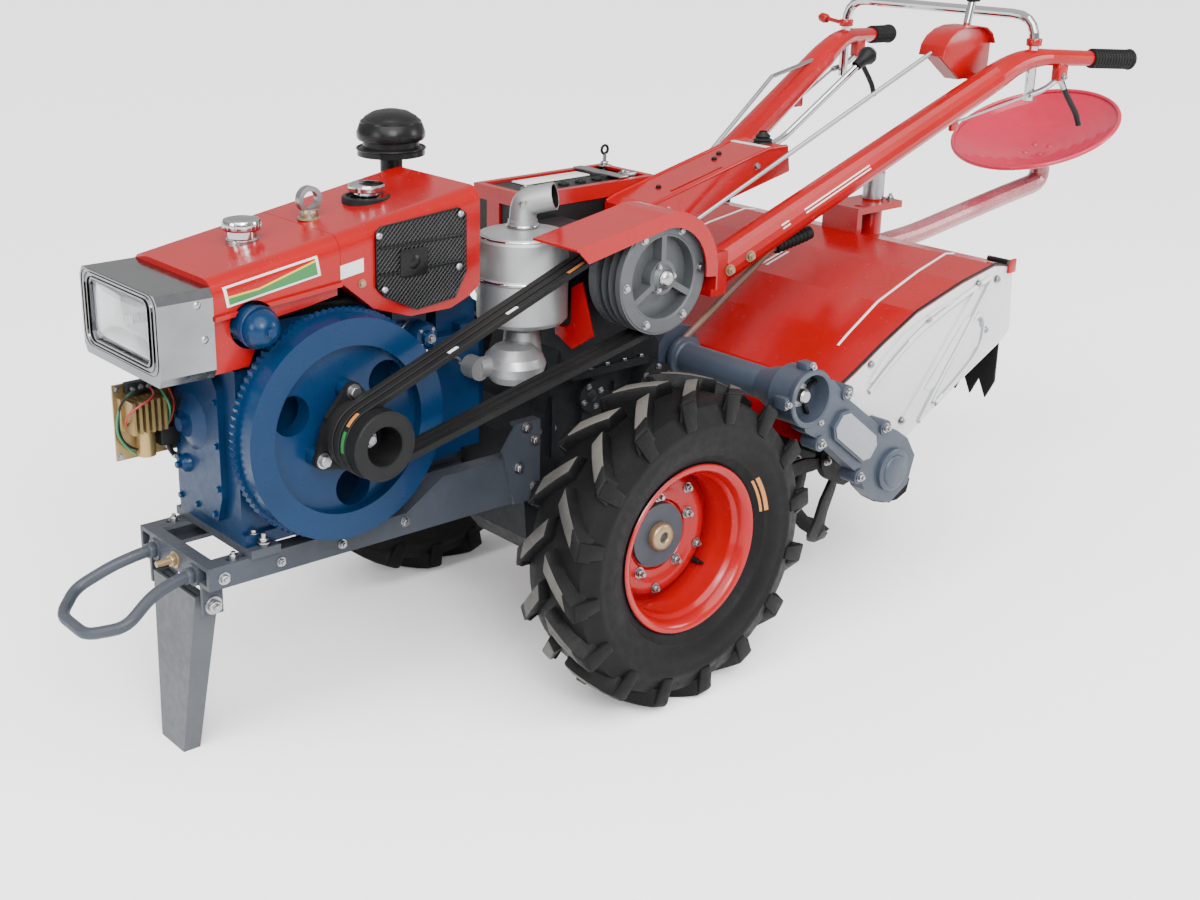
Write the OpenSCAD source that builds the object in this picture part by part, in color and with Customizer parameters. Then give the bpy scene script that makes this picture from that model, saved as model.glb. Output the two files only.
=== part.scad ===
// Two-wheel walking tractor with a rotary tiller and a ride-on seat.
// Each piece is drawn about the wheel axle, x forward, y left, z up from the
// ground, and is then placed with the origin under the middle of the machine.

/* [Part] */
// Sub-part to draw

/* [Wheels] */
// Radius over the lug tips
tyre_r = 318; // [250:1:400]
// Width of a tyre
tyre_w = 160; // [120:1:220]
// Distance between the tyre centres
track_w = 800; // [700:1:1000]
// Height of a tread lug
lug_h = 26; // [10:1:40]
// Thickness of a lug at its tip
lug_t = 32; // [12:1:44]
// Lugs on each side of a tyre
lug_count = 16; // [10:1:24]
// Radius of the bead seat
rim_r = 152; // [120:1:200]
// Width over the rim flanges
rim_w = 122; // [90:1:160]
// Thickness of the rim sheet
rim_wall = 5; // [3:0.5:10]
// Depth of the wheel disc behind the outer rim edge
disc_inset = 96; // [40:1:110]
// Radius of the hub flange
hub_r = 64; // [40:1:90]
// Radius of the axle shaft
axle_r = 22; // [15:1:30]

/* [Frame] */
// Front end of the rails ahead of the axle
rail_front = 836; // [700:1:950]
// Rear end of the rails ahead of the axle
rail_rear = 112; // [60:1:200]
// Underside of the rails
rail_low = 345; // [300:1:400]
// Height of a rail at its front
rail_h = 43; // [30:1:70]
// Height of a rail at its rear
rail_rear_h = 96; // [60:1:140]
// Half of the width over the rails
rail_half = 127; // [100:1:160]
// Width of a rail flange
rail_flange = 36; // [25:1:50]
// Thickness of the rail sheet
rail_wall = 8; // [4:0.5:12]
// Radius of the bumper rod
bumper_r = 11; // [8:0.5:16]
// Reach of the bumper ahead of the axle
front_reach = 1046; // [900:1:1200]
// Height of the bumper's middle line at its tip
bumper_z = 294; // [200:1:360]

/* [Stand] */
// Pivot of the stand ahead of the axle
stand_x = 815; // [760:1:900]
// Height of the stand pivot
stand_z = 305; // [280:1:330]
// Width of the leg at its top
leg_top_w = 156; // [120:1:170]
// Width of the leg at its foot
leg_foot_w = 84; // [50:1:120]
// Depth of the leg at its top
leg_top_d = 48; // [30:1:60]
// Depth of the leg at its foot
leg_foot_d = 34; // [20:1:60]
// Forward lean of the foot from the pivot
leg_lean = 30; // [0:1:80]
// Thickness of the leg sheet
leg_wall = 5; // [3:0.5:8]

/* [Engine] */
// Front face of the crankcase ahead of the axle
block_front = 755; // [700:1:800]
// Rear face of the crankcase ahead of the axle
block_rear = 430; // [380:1:480]
// Height of the crankcase
block_h = 322; // [260:1:380]
// Half of the crankcase width
block_half = 108; // [90:1:130]
// Rear face of the cylinder head ahead of the axle
head_rear = 218; // [200:1:260]
// Crankshaft ahead of the axle
fly_x = 585; // [540:1:640]
// Height of the crankshaft
fly_z = 610; // [560:1:660]
// Radius of the flywheel
fly_r = 200; // [160:1:220]
// Width of the flywheel rim
fly_w = 56; // [40:1:80]
// Inner face of the flywheel from the middle
fly_y = 146; // [130:1:160]
// Radius of the starter ring gear
gear_r = 209; // [180:1:230]
// Teeth of the starter ring gear
gear_teeth = 96; // [60:1:140]
// Radius of the starter motor
starter_r = 34; // [25:1:45]

/* [Hood] */
// Half of the hood width
hood_half = 140; // [120:1:160]
// Front of the fuel tank ahead of the axle
tank_front = 806; // [780:1:840]
// Joint of tank and radiator hood ahead of the axle
hood_joint = 556; // [520:1:600]
// Rear of the radiator hood ahead of the axle
hood_rear = 252; // [220:1:300]
// Height of the tank top at its front
tank_top = 897; // [860:1:930]
// Height of the hood top at its rear
hood_top = 987; // [940:1:1020]
// Height of the tank lip at its front
lip_z = 830; // [800:1:850]
// Rounding of the hood crest
crest_r = 30; // [15:1:50]
// Length of the headlamp shell
lamp_l = 102; // [70:1:140]
// Height of the headlamp shell
lamp_h = 154; // [120:1:180]
// Radius of the silencer can
can_r = 88; // [60:1:100]
// Silencer ahead of the axle
can_x = 112; // [80:1:140]
// Silencer to the left of the middle
can_y = 92; // [60:1:110]
// Height of the silencer can
can_h = 172; // [120:1:220]

/* [Belt drive] */
// Clutch shaft ahead of the axle
clutch_x = -64; // [-100:1:-30]
// Height of the clutch shaft
clutch_z = 800; // [760:1:840]
// Radius of the clutch pulley
clutch_r = 110; // [90:1:125]
// Radius of the engine pulley
pulley_r = 62; // [50:1:75]
// Width of a belt
belt_w = 15; // [10:0.5:22]
// Thickness of a belt
belt_t = 11; // [8:0.5:14]
// Distance between belts
belt_pitch = 19; // [16:0.5:26]
// Middle belt to the left of the middle
belt_y = 255; // [240:1:270]
// Number of belts
belt_count = 3; // [1:1:4]

/* [Gearbox] */
// Half of the gearbox width
box_half = 104; // [80:1:120]
// Underside of the gearbox
box_low = 192; // [160:1:240]
// Length of the gearbox
box_l = 358; // [300:1:420]
// Height of the gearbox
box_h = 660; // [600:1:720]
// Front of the gearbox ahead of the axle
box_front = 112; // [60:1:200]

/* [Handles] */
// Reach of the grips behind the axle
grip_reach = 1471; // [1300:1:1600]
// Half of the distance between the grip ends
grip_half = 345; // [280:1:400]
// Height of the grips
grip_z = 1104; // [1000:1:1200]
// Bend of the handles behind the axle
bend_reach = 1190; // [1100:1:1260]
// Half of the distance between the handle bends
bend_half = 262; // [220:1:300]
// Radius of a handle at its root
handle_r = 39; // [25:1:45]
// Radius of a handle at its grip
handle_end_r = 16; // [12:1:20]
// Length of a grip
grip_l = 112; // [80:1:140]
// Height of the top of the hoop
hoop_z = 1222; // [1160:1:1280]
// Radius of the hoop tube
hoop_r = 11; // [8:0.5:14]

/* [Tiller] */
// Rotor axis behind the axle
rotor_back = 572; // [560:1:620]
// Height of the rotor axis
rotor_z = 348; // [300:1:380]
// Radius over the tine tips
tine_r = 225; // [180:1:240]
// Half of the tiller width to the side plates
tiller_half = 430; // [380:1:450]
// Thickness of the tiller sheet
sheet_t = 4; // [2:0.5:6]
// Length of the tiller hood
tiller_l = 646; // [560:1:720]
// Height of the tiller hood
tiller_h = 340; // [280:1:380]
// Drive tube behind the axle
tube_back = 306; // [280:1:330]
// Height of the drive tube
tube_z = 556; // [520:1:590]
// Radius of the drive tube
tube_r = 33; // [25:1:40]
// Flanges with tines on the rotor
flange_count = 8; // [4:1:10]
// Height of the tail post
post_top = 846; // [780:1:900]

/* [Seat] */
// Seat behind the axle
seat_back = 1650; // [1500:1:1750]
// Height of the middle of the seat rim
seat_z = 886; // [800:1:950]
// Radius of the seat
seat_r = 206; // [160:1:240]
// Depth of the seat dish
seat_d = 62; // [30:1:90]
// Forward tilt of the seat dish
seat_tilt = 22; // [0:1:35]

/* [Hidden] */
// Play between turning pieces
fit = 0.3;
// Overrun of every cut
over = 1;
// Facets of a round bar
bar_sides = 14;
// Steps of a bend
bend_steps = 5;
// Smooth circles
$fn = 64;

axle_z = tyre_r;
rear_reach = seat_back + seat_r * cos(seat_tilt);
axle_x = (rear_reach - front_reach) / 2;

// Helpers

function unit(v) = v / norm(v);
function last(list) = list[len(list) - 1];
function spread(shares, at, size) = [for (s = shares) [at[0] + s[0] * size[0], at[1] + s[1] * size[1]]];
function bezier(a, b, c, steps) =
    [for (i = [0:steps]) let (t = i / steps) (1 - t) * (1 - t) * a + 2 * t * (1 - t) * b + t * t * c];
function flow(path, i) = unit(path[min(i + 1, len(path) - 1)] - path[max(i - 1, 0)]);
function flip(path) = [for (i = [len(path) - 1:-1:0]) path[i]];
function mirror_y(path) = [for (p = path) [p[0], -p[1], p[2]]];

// Path through corners with each inner corner rounded over a bend length
function bent(corners, bend) = concat(
    [corners[0]],
    [for (i = [1:len(corners) - 2])
        let (p = corners[i], a = p + bend * unit(corners[i - 1] - p),
            b = p + bend * unit(corners[i + 1] - p))
        for (q = bezier(a, p, b, bend_steps)) q],
    [last(corners)]);

// Solid bar along a path, its radius running from r0 to r1
module bar(path, r0, r1, side = [0, 1, 0], sides = bar_sides) {
    n = len(path);
    points = [for (i = [0:n - 1])
        let (t = flow(path, i), u = unit(cross(side, t)), v = cross(t, u), r = r0 + (r1 - r0) * i / (n - 1))
        for (k = [0:sides - 1]) path[i] + r * (cos(360 * k / sides) * u + sin(360 * k / sides) * v)];
    walls = [for (i = [0:n - 2], k = [0:sides - 1]) let (m = (k + 1) % sides)
        [i * sides + k, (i + 1) * sides + k, (i + 1) * sides + m, i * sides + m]];
    ends = [[for (k = [0:sides - 1]) k], [for (k = [sides - 1:-1:0]) (n - 1) * sides + k]];
    polyhedron(points, concat(walls, ends));
}

module box(x, y, z) {
    translate([x[0], y[0], z[0]]) cube([x[1] - x[0], y[1] - y[0], z[1] - z[0]]);
}

// Outline in x and z, as thick as the span in y
module slab(outline, y) {
    translate([0, y[1], 0]) rotate([90, 0, 0]) linear_extrude(y[1] - y[0]) polygon(outline);
}

// Outline in y and z, as thick as the span in x
module panel(outline, x) {
    translate([x[0], 0, 0]) rotate([90, 0, 90]) linear_extrude(x[1] - x[0]) polygon(outline);
}

// Children with their z axis laid along y at a place in x and z
module along_y(x, z) {
    translate([x, 0, z]) rotate([-90, 0, 0]) children();
}

// Round bar along y
module pin(x, z, y, r) {
    along_y(x, z) translate([0, 0, y[0]]) cylinder(h = y[1] - y[0], r = r);
}

module both_sides() {
    children();
    mirror([0, 1, 0]) children();
}

// Wheels

tread_r = tyre_r - lug_h;
shoulder_r = tyre_r - 1.3 * lug_h;
rim_lip = 3 * rim_wall;
bead_half = rim_w / 2 - rim_wall - fit;
bulge_r = (rim_r + shoulder_r) / 2;
wall_steps = 6;
tyre_flank = bezier([rim_r + rim_lip + 2 * fit, bead_half], [bulge_r, tyre_w * 0.62],
    [shoulder_r, tyre_w * 0.44], wall_steps);
tyre_outline = concat([[rim_r, bead_half]], tyre_flank, [[tread_r, tyre_w * 0.2]],
    [[tread_r, -tyre_w * 0.2]], [for (p = flip(tyre_flank)) [p[0], -p[1]]], [[rim_r, -bead_half]]);

// Corners of one lug: inner end and outer end, base and tip, leading and trailing edge
lug_sink = lug_h / 4;
lug_in = tyre_w * 0.03;
lug_out = tyre_w * 0.485;
lug_skew = 15;
function lug_point(r, y, skew, t) = [r * cos(skew) - t * sin(skew), r * sin(skew) + t * cos(skew), y];
lug_points = [for (end = [[tread_r - lug_sink, lug_in, 0], [tyre_r, lug_in, 0],
        [shoulder_r - 2 * lug_sink, lug_out, lug_skew], [tyre_r - lug_sink, lug_out, lug_skew]])
    for (t = [-1, 1]) lug_point(end[0], end[1], end[2], t * (end[0] > tread_r ? lug_t / 2 : 0.7 * lug_t))];
lug_faces = [[0, 2, 3, 1], [4, 5, 7, 6], [0, 1, 5, 4], [2, 6, 7, 3], [0, 4, 6, 2], [1, 3, 7, 5]];

module tyre() {
    color("dimgray") along_y(0, axle_z) {
        rotate_extrude() polygon(tyre_outline);
        for (i = [0:lug_count - 1]) {
            rotate([0, 0, 90 - lug_skew / 2 + 360 * i / lug_count]) polyhedron(lug_points, lug_faces);
            rotate([0, 0, 90 - lug_skew / 2 + 360 * (i + 0.5) / lug_count])
                mirror([0, 0, 1]) polyhedron(lug_points, lug_faces);
        }
    }
}

rim_outline = [[rim_r - fit, rim_w / 2 - rim_wall], [rim_r + rim_lip, rim_w / 2 - rim_wall],
    [rim_r + rim_lip, rim_w / 2], [rim_r - rim_wall, rim_w / 2], [rim_r - rim_lip, rim_w / 4],
    [rim_r - rim_lip, -rim_w / 2], [rim_r + rim_lip, -rim_w / 2], [rim_r + rim_lip, rim_wall - rim_w / 2],
    [rim_r - fit, rim_wall - rim_w / 2]];
disc_y = track_w / 2 + rim_w / 2 - disc_inset;
disc_t = 2 * rim_wall;

module rim() {
    color("firebrick") along_y(0, axle_z) {
        translate([0, 0, track_w / 2]) rotate_extrude() polygon(rim_outline);
        translate([0, 0, disc_y - disc_t]) difference() {
            cylinder(h = disc_t, r = rim_r - rim_wall);
            translate([0, 0, -over]) cylinder(h = disc_t + 2 * over, r = hub_r / 2 + fit);
        }
    }
}

hub_cap_r = 0.38 * hub_r;
hub_l = 46;
stub_l = 90;

module hub() {
    color("slategray") along_y(0, axle_z) {
        translate([0, 0, disc_y]) cylinder(h = disc_t, r = hub_r);
        translate([0, 0, disc_y - disc_t - hub_l]) cylinder(h = hub_l + 2 * disc_t, r = hub_r / 2);
        translate([0, 0, disc_y]) cylinder(h = 2 * disc_t, r = hub_cap_r);
        translate([0, 0, disc_y - disc_t - hub_l - stub_l]) cylinder(h = stub_l + over, r = axle_r);
    }
}

module left_tyre() { translate([0, track_w / 2, 0]) tyre(); }
module right_tyre() { mirror([0, 1, 0]) left_tyre(); }
module left_rim() { rim(); }
module right_rim() { mirror([0, 1, 0]) rim(); }
module left_hub() { hub(); }
module right_hub() { mirror([0, 1, 0]) hub(); }

// Frame, bumper and stand

rail_inner = rail_half - rail_flange;
rail_top = rail_low + rail_h;
rail_l = rail_front - rail_rear;
rail_step_shares = [[0, 1], [0.3, 1], [0.42, 0], [1, 0]];
rail_steps = [for (s = rail_step_shares)
    [rail_rear + s[0] * rail_l, rail_top + s[1] * (rail_rear_h - rail_h)]];
rail_outline = concat([[rail_front, rail_low], [rail_rear, rail_low]], rail_steps);
rail_pocket = concat([[rail_front + over, rail_low + rail_wall], [rail_rear - over, rail_low + rail_wall]],
    [for (p = rail_steps) [p[0] + (p[0] > rail_rear ? rail_wall / 4 : -over), p[1] - rail_wall]],
    [[rail_front + over, rail_top - rail_wall]]);
cross_d = 26;
slot_l = 0.11 * rail_l;
slot_w = rail_flange / 3;
ear_t = rail_wall;
ear_l = 40;
ear_lap = 18;
ear_drop = rail_low - stand_z + ear_lap;
pivot_r = 9;
bumper_half = 71;
plate_shares = [[-0.02, 0], [0.07, 0], [0.11, 1.2], [0.06, 1.72], [-0.02, 1.72]];
plate_outline = spread(plate_shares, [rail_rear, rail_low], [rail_l, rail_rear_h]);
plate_top = last(plate_outline)[1];
bumper_root_z = rail_low + rail_h / 3;

module slot(x, y) {
    for (e = [0, slot_l]) translate([x + e, y, rail_top - rail_wall - over])
        cylinder(h = rail_wall + 2 * over, d = slot_w);
    box([x, x + slot_l], [y - slot_w / 2, y + slot_w / 2], [rail_top - rail_wall - over, rail_top + over]);
}

module frame_rails() {
    color("slategray") {
        both_sides() difference() {
            slab(rail_outline, [rail_inner, rail_half]);
            slab(rail_pocket, [rail_inner - over, rail_half - rail_wall]);
            slot(rail_front - cross_d - 1.3 * slot_l, rail_half - rail_flange / 2);
        }
        difference() {
            box([rail_front - cross_d, rail_front], [-rail_inner, rail_inner], [rail_low, rail_top]);
            for (s = [-1, 1]) translate([rail_front - cross_d - over, s * bumper_half, bumper_root_z])
                rotate([0, 90, 0]) cylinder(h = cross_d + 2 * over, r = bumper_r + fit);
        }
        both_sides() box([stand_x - ear_l / 2, stand_x + ear_l / 2], [rail_inner, rail_inner + ear_t],
            [rail_low - ear_drop, rail_low]);
        pin(stand_x, stand_z, [-rail_inner - over, rail_inner + over], pivot_r);
        both_sides() {
            slab(plate_outline, [rail_half, rail_half + rail_wall]);
            box([last(plate_outline)[0], rail_rear + 0.06 * rail_l], [box_half + rail_wall,
                rail_half + rail_wall],
                [plate_top - rail_wall, plate_top]);
        }
    }
}

bed_w = 60;
bed_h = 16;
bed_lip = 10;
bed_half = rail_half + bed_lip;
bed_z = rail_top + bed_h;
bed_boss_r = 8;
bed_front_x = block_front - bed_w / 2;
bed_rear_x = fly_x - bed_w / 2;

module engine_bed() {
    color("steelblue") for (x = [bed_front_x, bed_rear_x]) {
        box([x - bed_w / 2, x + bed_w / 2], [-bed_half, bed_half], [rail_top, bed_z]);
        for (s = [-1, 1]) translate([x, s * (bed_half - bed_boss_r), bed_z]) cylinder(h = bed_h / 2,
            r = bed_boss_r);
    }
}

bumper_len = front_reach - rail_front;
bumper_bow_shares = [[0.42, 1.1, 0.2], [0.74, 1.4, 0.72], [1, 0.7, 1]];
bumper_bow = [for (s = bumper_bow_shares) [rail_front + s[0] * (bumper_len - bumper_r), s[1] * bumper_half,
    bumper_root_z + s[2] * (bumper_z - bumper_root_z)]];
bumper_root = [for (x = [rail_front - cross_d, rail_front + cross_d]) [x, bumper_half, bumper_root_z]];
bumper_corners = concat(bumper_root, bumper_bow, flip(mirror_y(bumper_bow)), flip(mirror_y(bumper_root)));

module front_bumper() {
    color("slategray") bar(bent(bumper_corners, bumper_half / 3), bumper_r, bumper_r, [0, 0, 1]);
}

leg_top_z = stand_z + leg_top_d / 4;
function leg_ring(x, z, w, d) =
    [[x - d / 2, -w / 2, z], [x + d / 2, -w / 2, z], [x + d / 2, w / 2, z], [x - d / 2, w / 2, z]];
leg_faces = [[0, 1, 2, 3], [7, 6, 5, 4], [0, 4, 5, 1], [1, 5, 6, 2], [2, 6, 7, 3], [3, 7, 4, 0]];

module stand_leg() {
    color("gray") difference() {
        polyhedron(concat(leg_ring(stand_x + leg_lean, 0, leg_foot_w, leg_foot_d),
            leg_ring(stand_x, leg_top_z, leg_top_w, leg_top_d)), leg_faces);
        translate([-leg_wall - over, 0, 0]) polyhedron(concat(
            leg_ring(stand_x + leg_lean, leg_wall, leg_foot_w - 2 * leg_wall, leg_foot_d + 2 * over),
            leg_ring(stand_x, leg_top_z + over, leg_top_w - 2 * leg_wall, leg_top_d + 2 * over)),
                leg_faces);
        pin(stand_x, stand_z, [-leg_top_w, leg_top_w], pivot_r + fit);
    }
}

// Engine

block_top = bed_z + block_h;
sump_h = 0.07 * block_h;
sump_half = 1.1 * block_half;
cover_t = 14;
cover_shares = [[-0.86, 0.1], [0.45, 0.1], [0.62, 0.25], [0.62, 0.86], [0.4, 0.97], [-0.7, 0.97],
    [-0.86, 0.85]];
cover_outline = spread(cover_shares, [0, bed_z], [block_half, block_h]);
crank_r = 30;
boss_r = 50;
boss_l = 18;
knob_r = 26;
cyl_shares = [[0, 0.2], [1, 0.14], [1, 0.93], [0, 0.93]];
cyl_half = 0.86 * block_half;
head_l = 44;
cyl_rear = head_rear + head_l;
pad_w = 62;
neck_l = 76;
neck_x = hood_rear + neck_l;
hood_gap = 46;
hood_side_low = block_top + hood_gap;

module engine_block() {
    color("royalblue") {
        difference() {
            union() {
                box([block_rear, block_front], [-block_half, block_half], [bed_z, block_top]);
                box([block_rear, block_front], [-sump_half, sump_half], [bed_z, bed_z + sump_h]);
                pin(fly_x, fly_z, [block_half, block_half + boss_l], boss_r);
                slab(spread(cyl_shares, [cyl_rear, bed_z], [block_rear - cyl_rear, block_h]),
                    [-cyl_half, cyl_half]);
                box([neck_x, neck_x + neck_l], [-0.8 * cyl_half, 0.8 * cyl_half],
                    [block_top - block_h / 3, hood_side_low]);
                box([block_front - pad_w - cover_t, block_front - cover_t], [-block_half, block_half / 2],
                    [block_top, starter_z]);
            }
            pin(fly_x, fly_z, [block_half / 2, block_half + boss_l + over], crank_r + fit);
            pin(starter_x, starter_z, [-block_half - over, block_half], starter_r + fit);
        }
        panel(cover_outline, [block_front, block_front + cover_t]);
        translate([block_front + cover_t, -block_half / 4, bed_z + 0.62 * block_h]) rotate([0, 90, 0]) {
            cylinder(h = cover_t, r1 = 2 * knob_r, r2 = knob_r);
            cylinder(h = 2 * cover_t, r = knob_r / 2);
        }
    }
}

head_low = bed_z + 0.22 * block_h;
head_top = bed_z + 0.98 * block_h;
rocker_l = 46;
rocker_half = 0.45 * block_half;
cyl_top = bed_z + last(cyl_shares)[1] * block_h;
valve_shares = [[-0.22, 0], [1.86, 0], [1.86, 0.62], [1.6, 0.96], [0.1, 0.96], [-0.22, 0.7]];
valve_half = 0.62 * block_half;

module cylinder_head() {
    color("mediumblue") {
        box([head_rear, cyl_rear], [-cyl_half, cyl_half], [head_low, head_top]);
        box([head_rear - rocker_l, head_rear], [-rocker_half, rocker_half], [head_low + rocker_l,
            head_top - rocker_l]);
        slab(spread(valve_shares, [head_rear, cyl_top], [head_l, hood_side_low - cyl_top]),
            [-valve_half, valve_half]);
    }
}

starter_set = 22;
starter_rise = 202;
starter_x = block_front - starter_set;
starter_z = fly_z + starter_rise;
starter_in = 0.7 * block_half;
starter_out = 1.7 * block_half;

module starter_motor() {
    color("royalblue") {
        pin(starter_x, starter_z, [-starter_in, starter_out - starter_r / 2], starter_r);
        translate([starter_x, starter_out - starter_r / 2, starter_z]) sphere(r = 0.96 * starter_r);
    }
}

// Hood, lamp, caps and air cleaner

hood_rise = (hood_top - tank_top) / (tank_front - hood_rear);
lip_rise_share = 0.084;
function crest(x) = tank_top + (tank_front - x) * hood_rise;
function lip(x) = lip_z + (tank_front - x) * lip_rise_share;
lip_t = 8;
lip_out = 7;
skirt_t = sheet_t;
skirt_half = hood_half - 2 * skirt_t;
skirt_h = 160;
skirt_low = tank_top - skirt_h;

module hood_ring(x, low) {
    translate([x, 0, 0]) for (s = [-1, 1]) {
        translate([0, s * (hood_half - crest_r), crest(x) - crest_r]) rotate([0, 90, 0])
            cylinder(h = over, r = crest_r, $fn = 32);
        translate([0, s * (hood_half - crest_r / 2) - crest_r / 2, low]) cube([over, crest_r, crest_r]);
    }
}

skirt_shares = [[0, 0], [-0.26, 0.04], [-0.34, 0.5], [-0.5, 0.86], [-0.74, 0.94], [-0.98, 1.05],
    [-0.98, 1.3], [0, 1.3]];
skirt_outline = spread(skirt_shares, [tank_front, skirt_low], [tank_front - hood_joint, lip_z - skirt_low]);

module fuel_tank() {
    color("firebrick") {
        difference() {
            union() {
                hull() {
                    hood_ring(tank_front - over, lip(tank_front));
                    hood_ring(hood_joint + fit, lip(hood_joint));
                }
                slab([[tank_front, lip(tank_front)], [tank_front, lip(tank_front) + lip_t],
                    [hood_joint + fit, lip(hood_joint) + lip_t], [hood_joint + fit, lip(hood_joint)]],
                    [-hood_half - lip_out, hood_half + lip_out]);
            }
            pin(starter_x, starter_z, [-hood_half - 2 * lip_out, hood_half + 2 * lip_out],
                starter_r + 2 * skirt_t);
        }
        both_sides() difference() {
            slab(skirt_outline, [skirt_half, skirt_half + skirt_t]);
            pin(starter_x, starter_z, [0, hood_half], starter_r + 2 * skirt_t);
        }
    }
}

hood_side_shares = [[0, 0.25], [0.08, 0.12], [0.22, 0], [0.52, 0], [0.78, 0.2], [1, 0.62], [1, 1], [0, 1]];
hood_side = spread(hood_side_shares, [hood_rear, hood_side_low],
    [hood_joint - hood_rear - fit, crest(hood_joint) - crest_r - hood_side_low]);

module radiator_hood() {
    color("firebrick") {
        hull() {
            hood_ring(hood_joint - over - fit, lip(hood_joint));
            hood_ring(hood_rear, crest(hood_joint) - 2 * crest_r);
        }
        slab(hood_side, [fit - hood_half, hood_half - fit]);
    }
}

grille_t = 7;
grille_l = 196;
grille_h = 172;
grille_set = 36;
grille_rise = 12;
grille_x = hood_rear + grille_set;
grille_z = hood_side_low + grille_rise;
grille_shares = [[0, 0.31], [0.13, 0.05], [0.57, 0], [0.92, 0.2], [1, 0.3], [1, 0.87], [0.94, 0.93],
    [0.08, 1], [0, 0.93]];
grille_outline = spread(grille_shares, [grille_x, grille_z], [grille_l, grille_h]);
grille_slots = 9;
grille_slot = grille_h / grille_slots / 2.6;

module radiator_grille() {
    color("black") difference() {
        slab(grille_outline, [hood_half, hood_half + grille_t]);
        for (i = [1:grille_slots - 2], k = [0, 1])
            let (z = grille_z + (i + 0.6) * grille_h / grille_slots,
                x = grille_x + (0.1 + 0.42 * k) * grille_l)
                box([x, x + 0.36 * grille_l], [hood_half - over, hood_half + grille_t + over],
                    [z, z + grille_slot]);
    }
}

cap_r = 34;
cap_h = 30;
fuel_set = 140;
water_set = 152;
fuel_x = tank_front - fuel_set;
water_x = hood_rear + water_set;

module cap(x, r, h) {
    translate([x, 0, crest(x) - h / 3]) {
        cylinder(h = h, r = 0.75 * r);
        translate([0, 0, h]) cylinder(h = 2 * h / 3, r = r);
    }
}

module filler_caps() {
    color("silver") difference() {
        union() {
            cap(fuel_x, cap_r, cap_h);
            cap(water_x, cap_r, 0.7 * cap_h);
        }
        tilted_hood();
    }
}

// The wedge of hood under the caps and the eye
module tilted_hood() {
    slab([[hood_rear, crest(hood_rear) - 2 * crest_r], [tank_front, crest(tank_front) - 2 * crest_r],
        [tank_front, crest(tank_front) + fit], [hood_rear, crest(hood_rear) + fit]], [-hood_half,
            hood_half]);
}

eye_set = 28;
eye_x = hood_joint - eye_set;
eye_r = 15;
eye_ring = 9;
eye_t = 14;
eye_rise = 10;
eye_z = crest(eye_x) + eye_r + eye_ring + eye_rise;

module lifting_eye() {
    color("gray") difference() {
        union() {
            pin(eye_x, eye_z, [-eye_t / 2, eye_t / 2], eye_r + eye_ring);
            translate([eye_x, 0, eye_z - eye_r - 3 * eye_ring]) cylinder(h = 2.6 * eye_ring, r = eye_r);
        }
        pin(eye_x, eye_z, [-eye_t, eye_t], eye_r);
        tilted_hood();
    }
}

lamp_wall = 6;
lamp_drop = 10;
lamp_lip = 2;
lamp_top = tank_top - lamp_drop;
lamp_half = hood_half + lamp_lip;
lamp_shares = [[-0.93, 0], [0.93, 0], [1, 0.1], [1, 0.9], [0.93, 1], [-0.93, 1], [-1, 0.9], [-1, 0.1]];
lamp_outline = spread(lamp_shares, [0, lamp_top - lamp_h], [lamp_half, lamp_h]);
lens_shares = [[-0.67, 0.2], [0.67, 0.2], [0.75, 0.28], [0.75, 0.82], [0.67, 0.9], [-0.67, 0.9],
    [-0.75, 0.82], [-0.75, 0.28]];
lens_outline = spread(lens_shares, [0, lamp_top - lamp_h], [lamp_half, lamp_h]);
lens_d = 30;

module headlamp_shell() {
    color("silver") difference() {
        panel(lamp_outline, [tank_front + fit, tank_front + lamp_l]);
        panel(lens_outline, [tank_front + lamp_l - lens_d, tank_front + lamp_l + over]);
    }
}

module headlamp_lens() {
    color("white") panel(lens_outline, [tank_front + lamp_l - lens_d, tank_front + lamp_l - lamp_wall]);
}

stack_r = 22;
stack_set = 18;
stack_gap = 2;
stack_x = hood_rear - stack_set;
stack_y = -hood_half - stack_r - stack_gap;
bowl_r = 60;
filter_y = -hood_half - bowl_r - 2 * sheet_t;
stack_rise = 15;
stack_top = hood_top + stack_rise;
stack_l = 70;
filter_h = 190;
filter_z = stack_top - stack_l - filter_h;
mush_r = 66;
mush_h = 84;
mush_profile_shares = [[0, 0], [1, 0], [1, 0.14], [0.84, 0.2], [0.84, 0.52], [0.94, 0.56], [0.9, 0.78],
    [0.6, 0.95], [0, 1]];
inlet_low = bed_z + 0.8 * block_h;

module air_cleaner() {
    color("black") {
        translate([stack_x, filter_y, filter_z]) cylinder(h = filter_h, r = bowl_r);
        translate([stack_x, stack_y, filter_z + filter_h - over]) cylinder(h = stack_l + over, r = stack_r);
        translate([stack_x, stack_y, stack_top - over]) rotate_extrude()
            polygon(spread(mush_profile_shares, [0, 0], [mush_r, mush_h]));
        bar(bent([[stack_x, filter_y, filter_z + bowl_r], [stack_x, filter_y, inlet_low],
            [stack_x, -cyl_half, inlet_low]], bowl_r / 3), stack_r, stack_r, [1, 0, 0]);
    }
}

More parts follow.
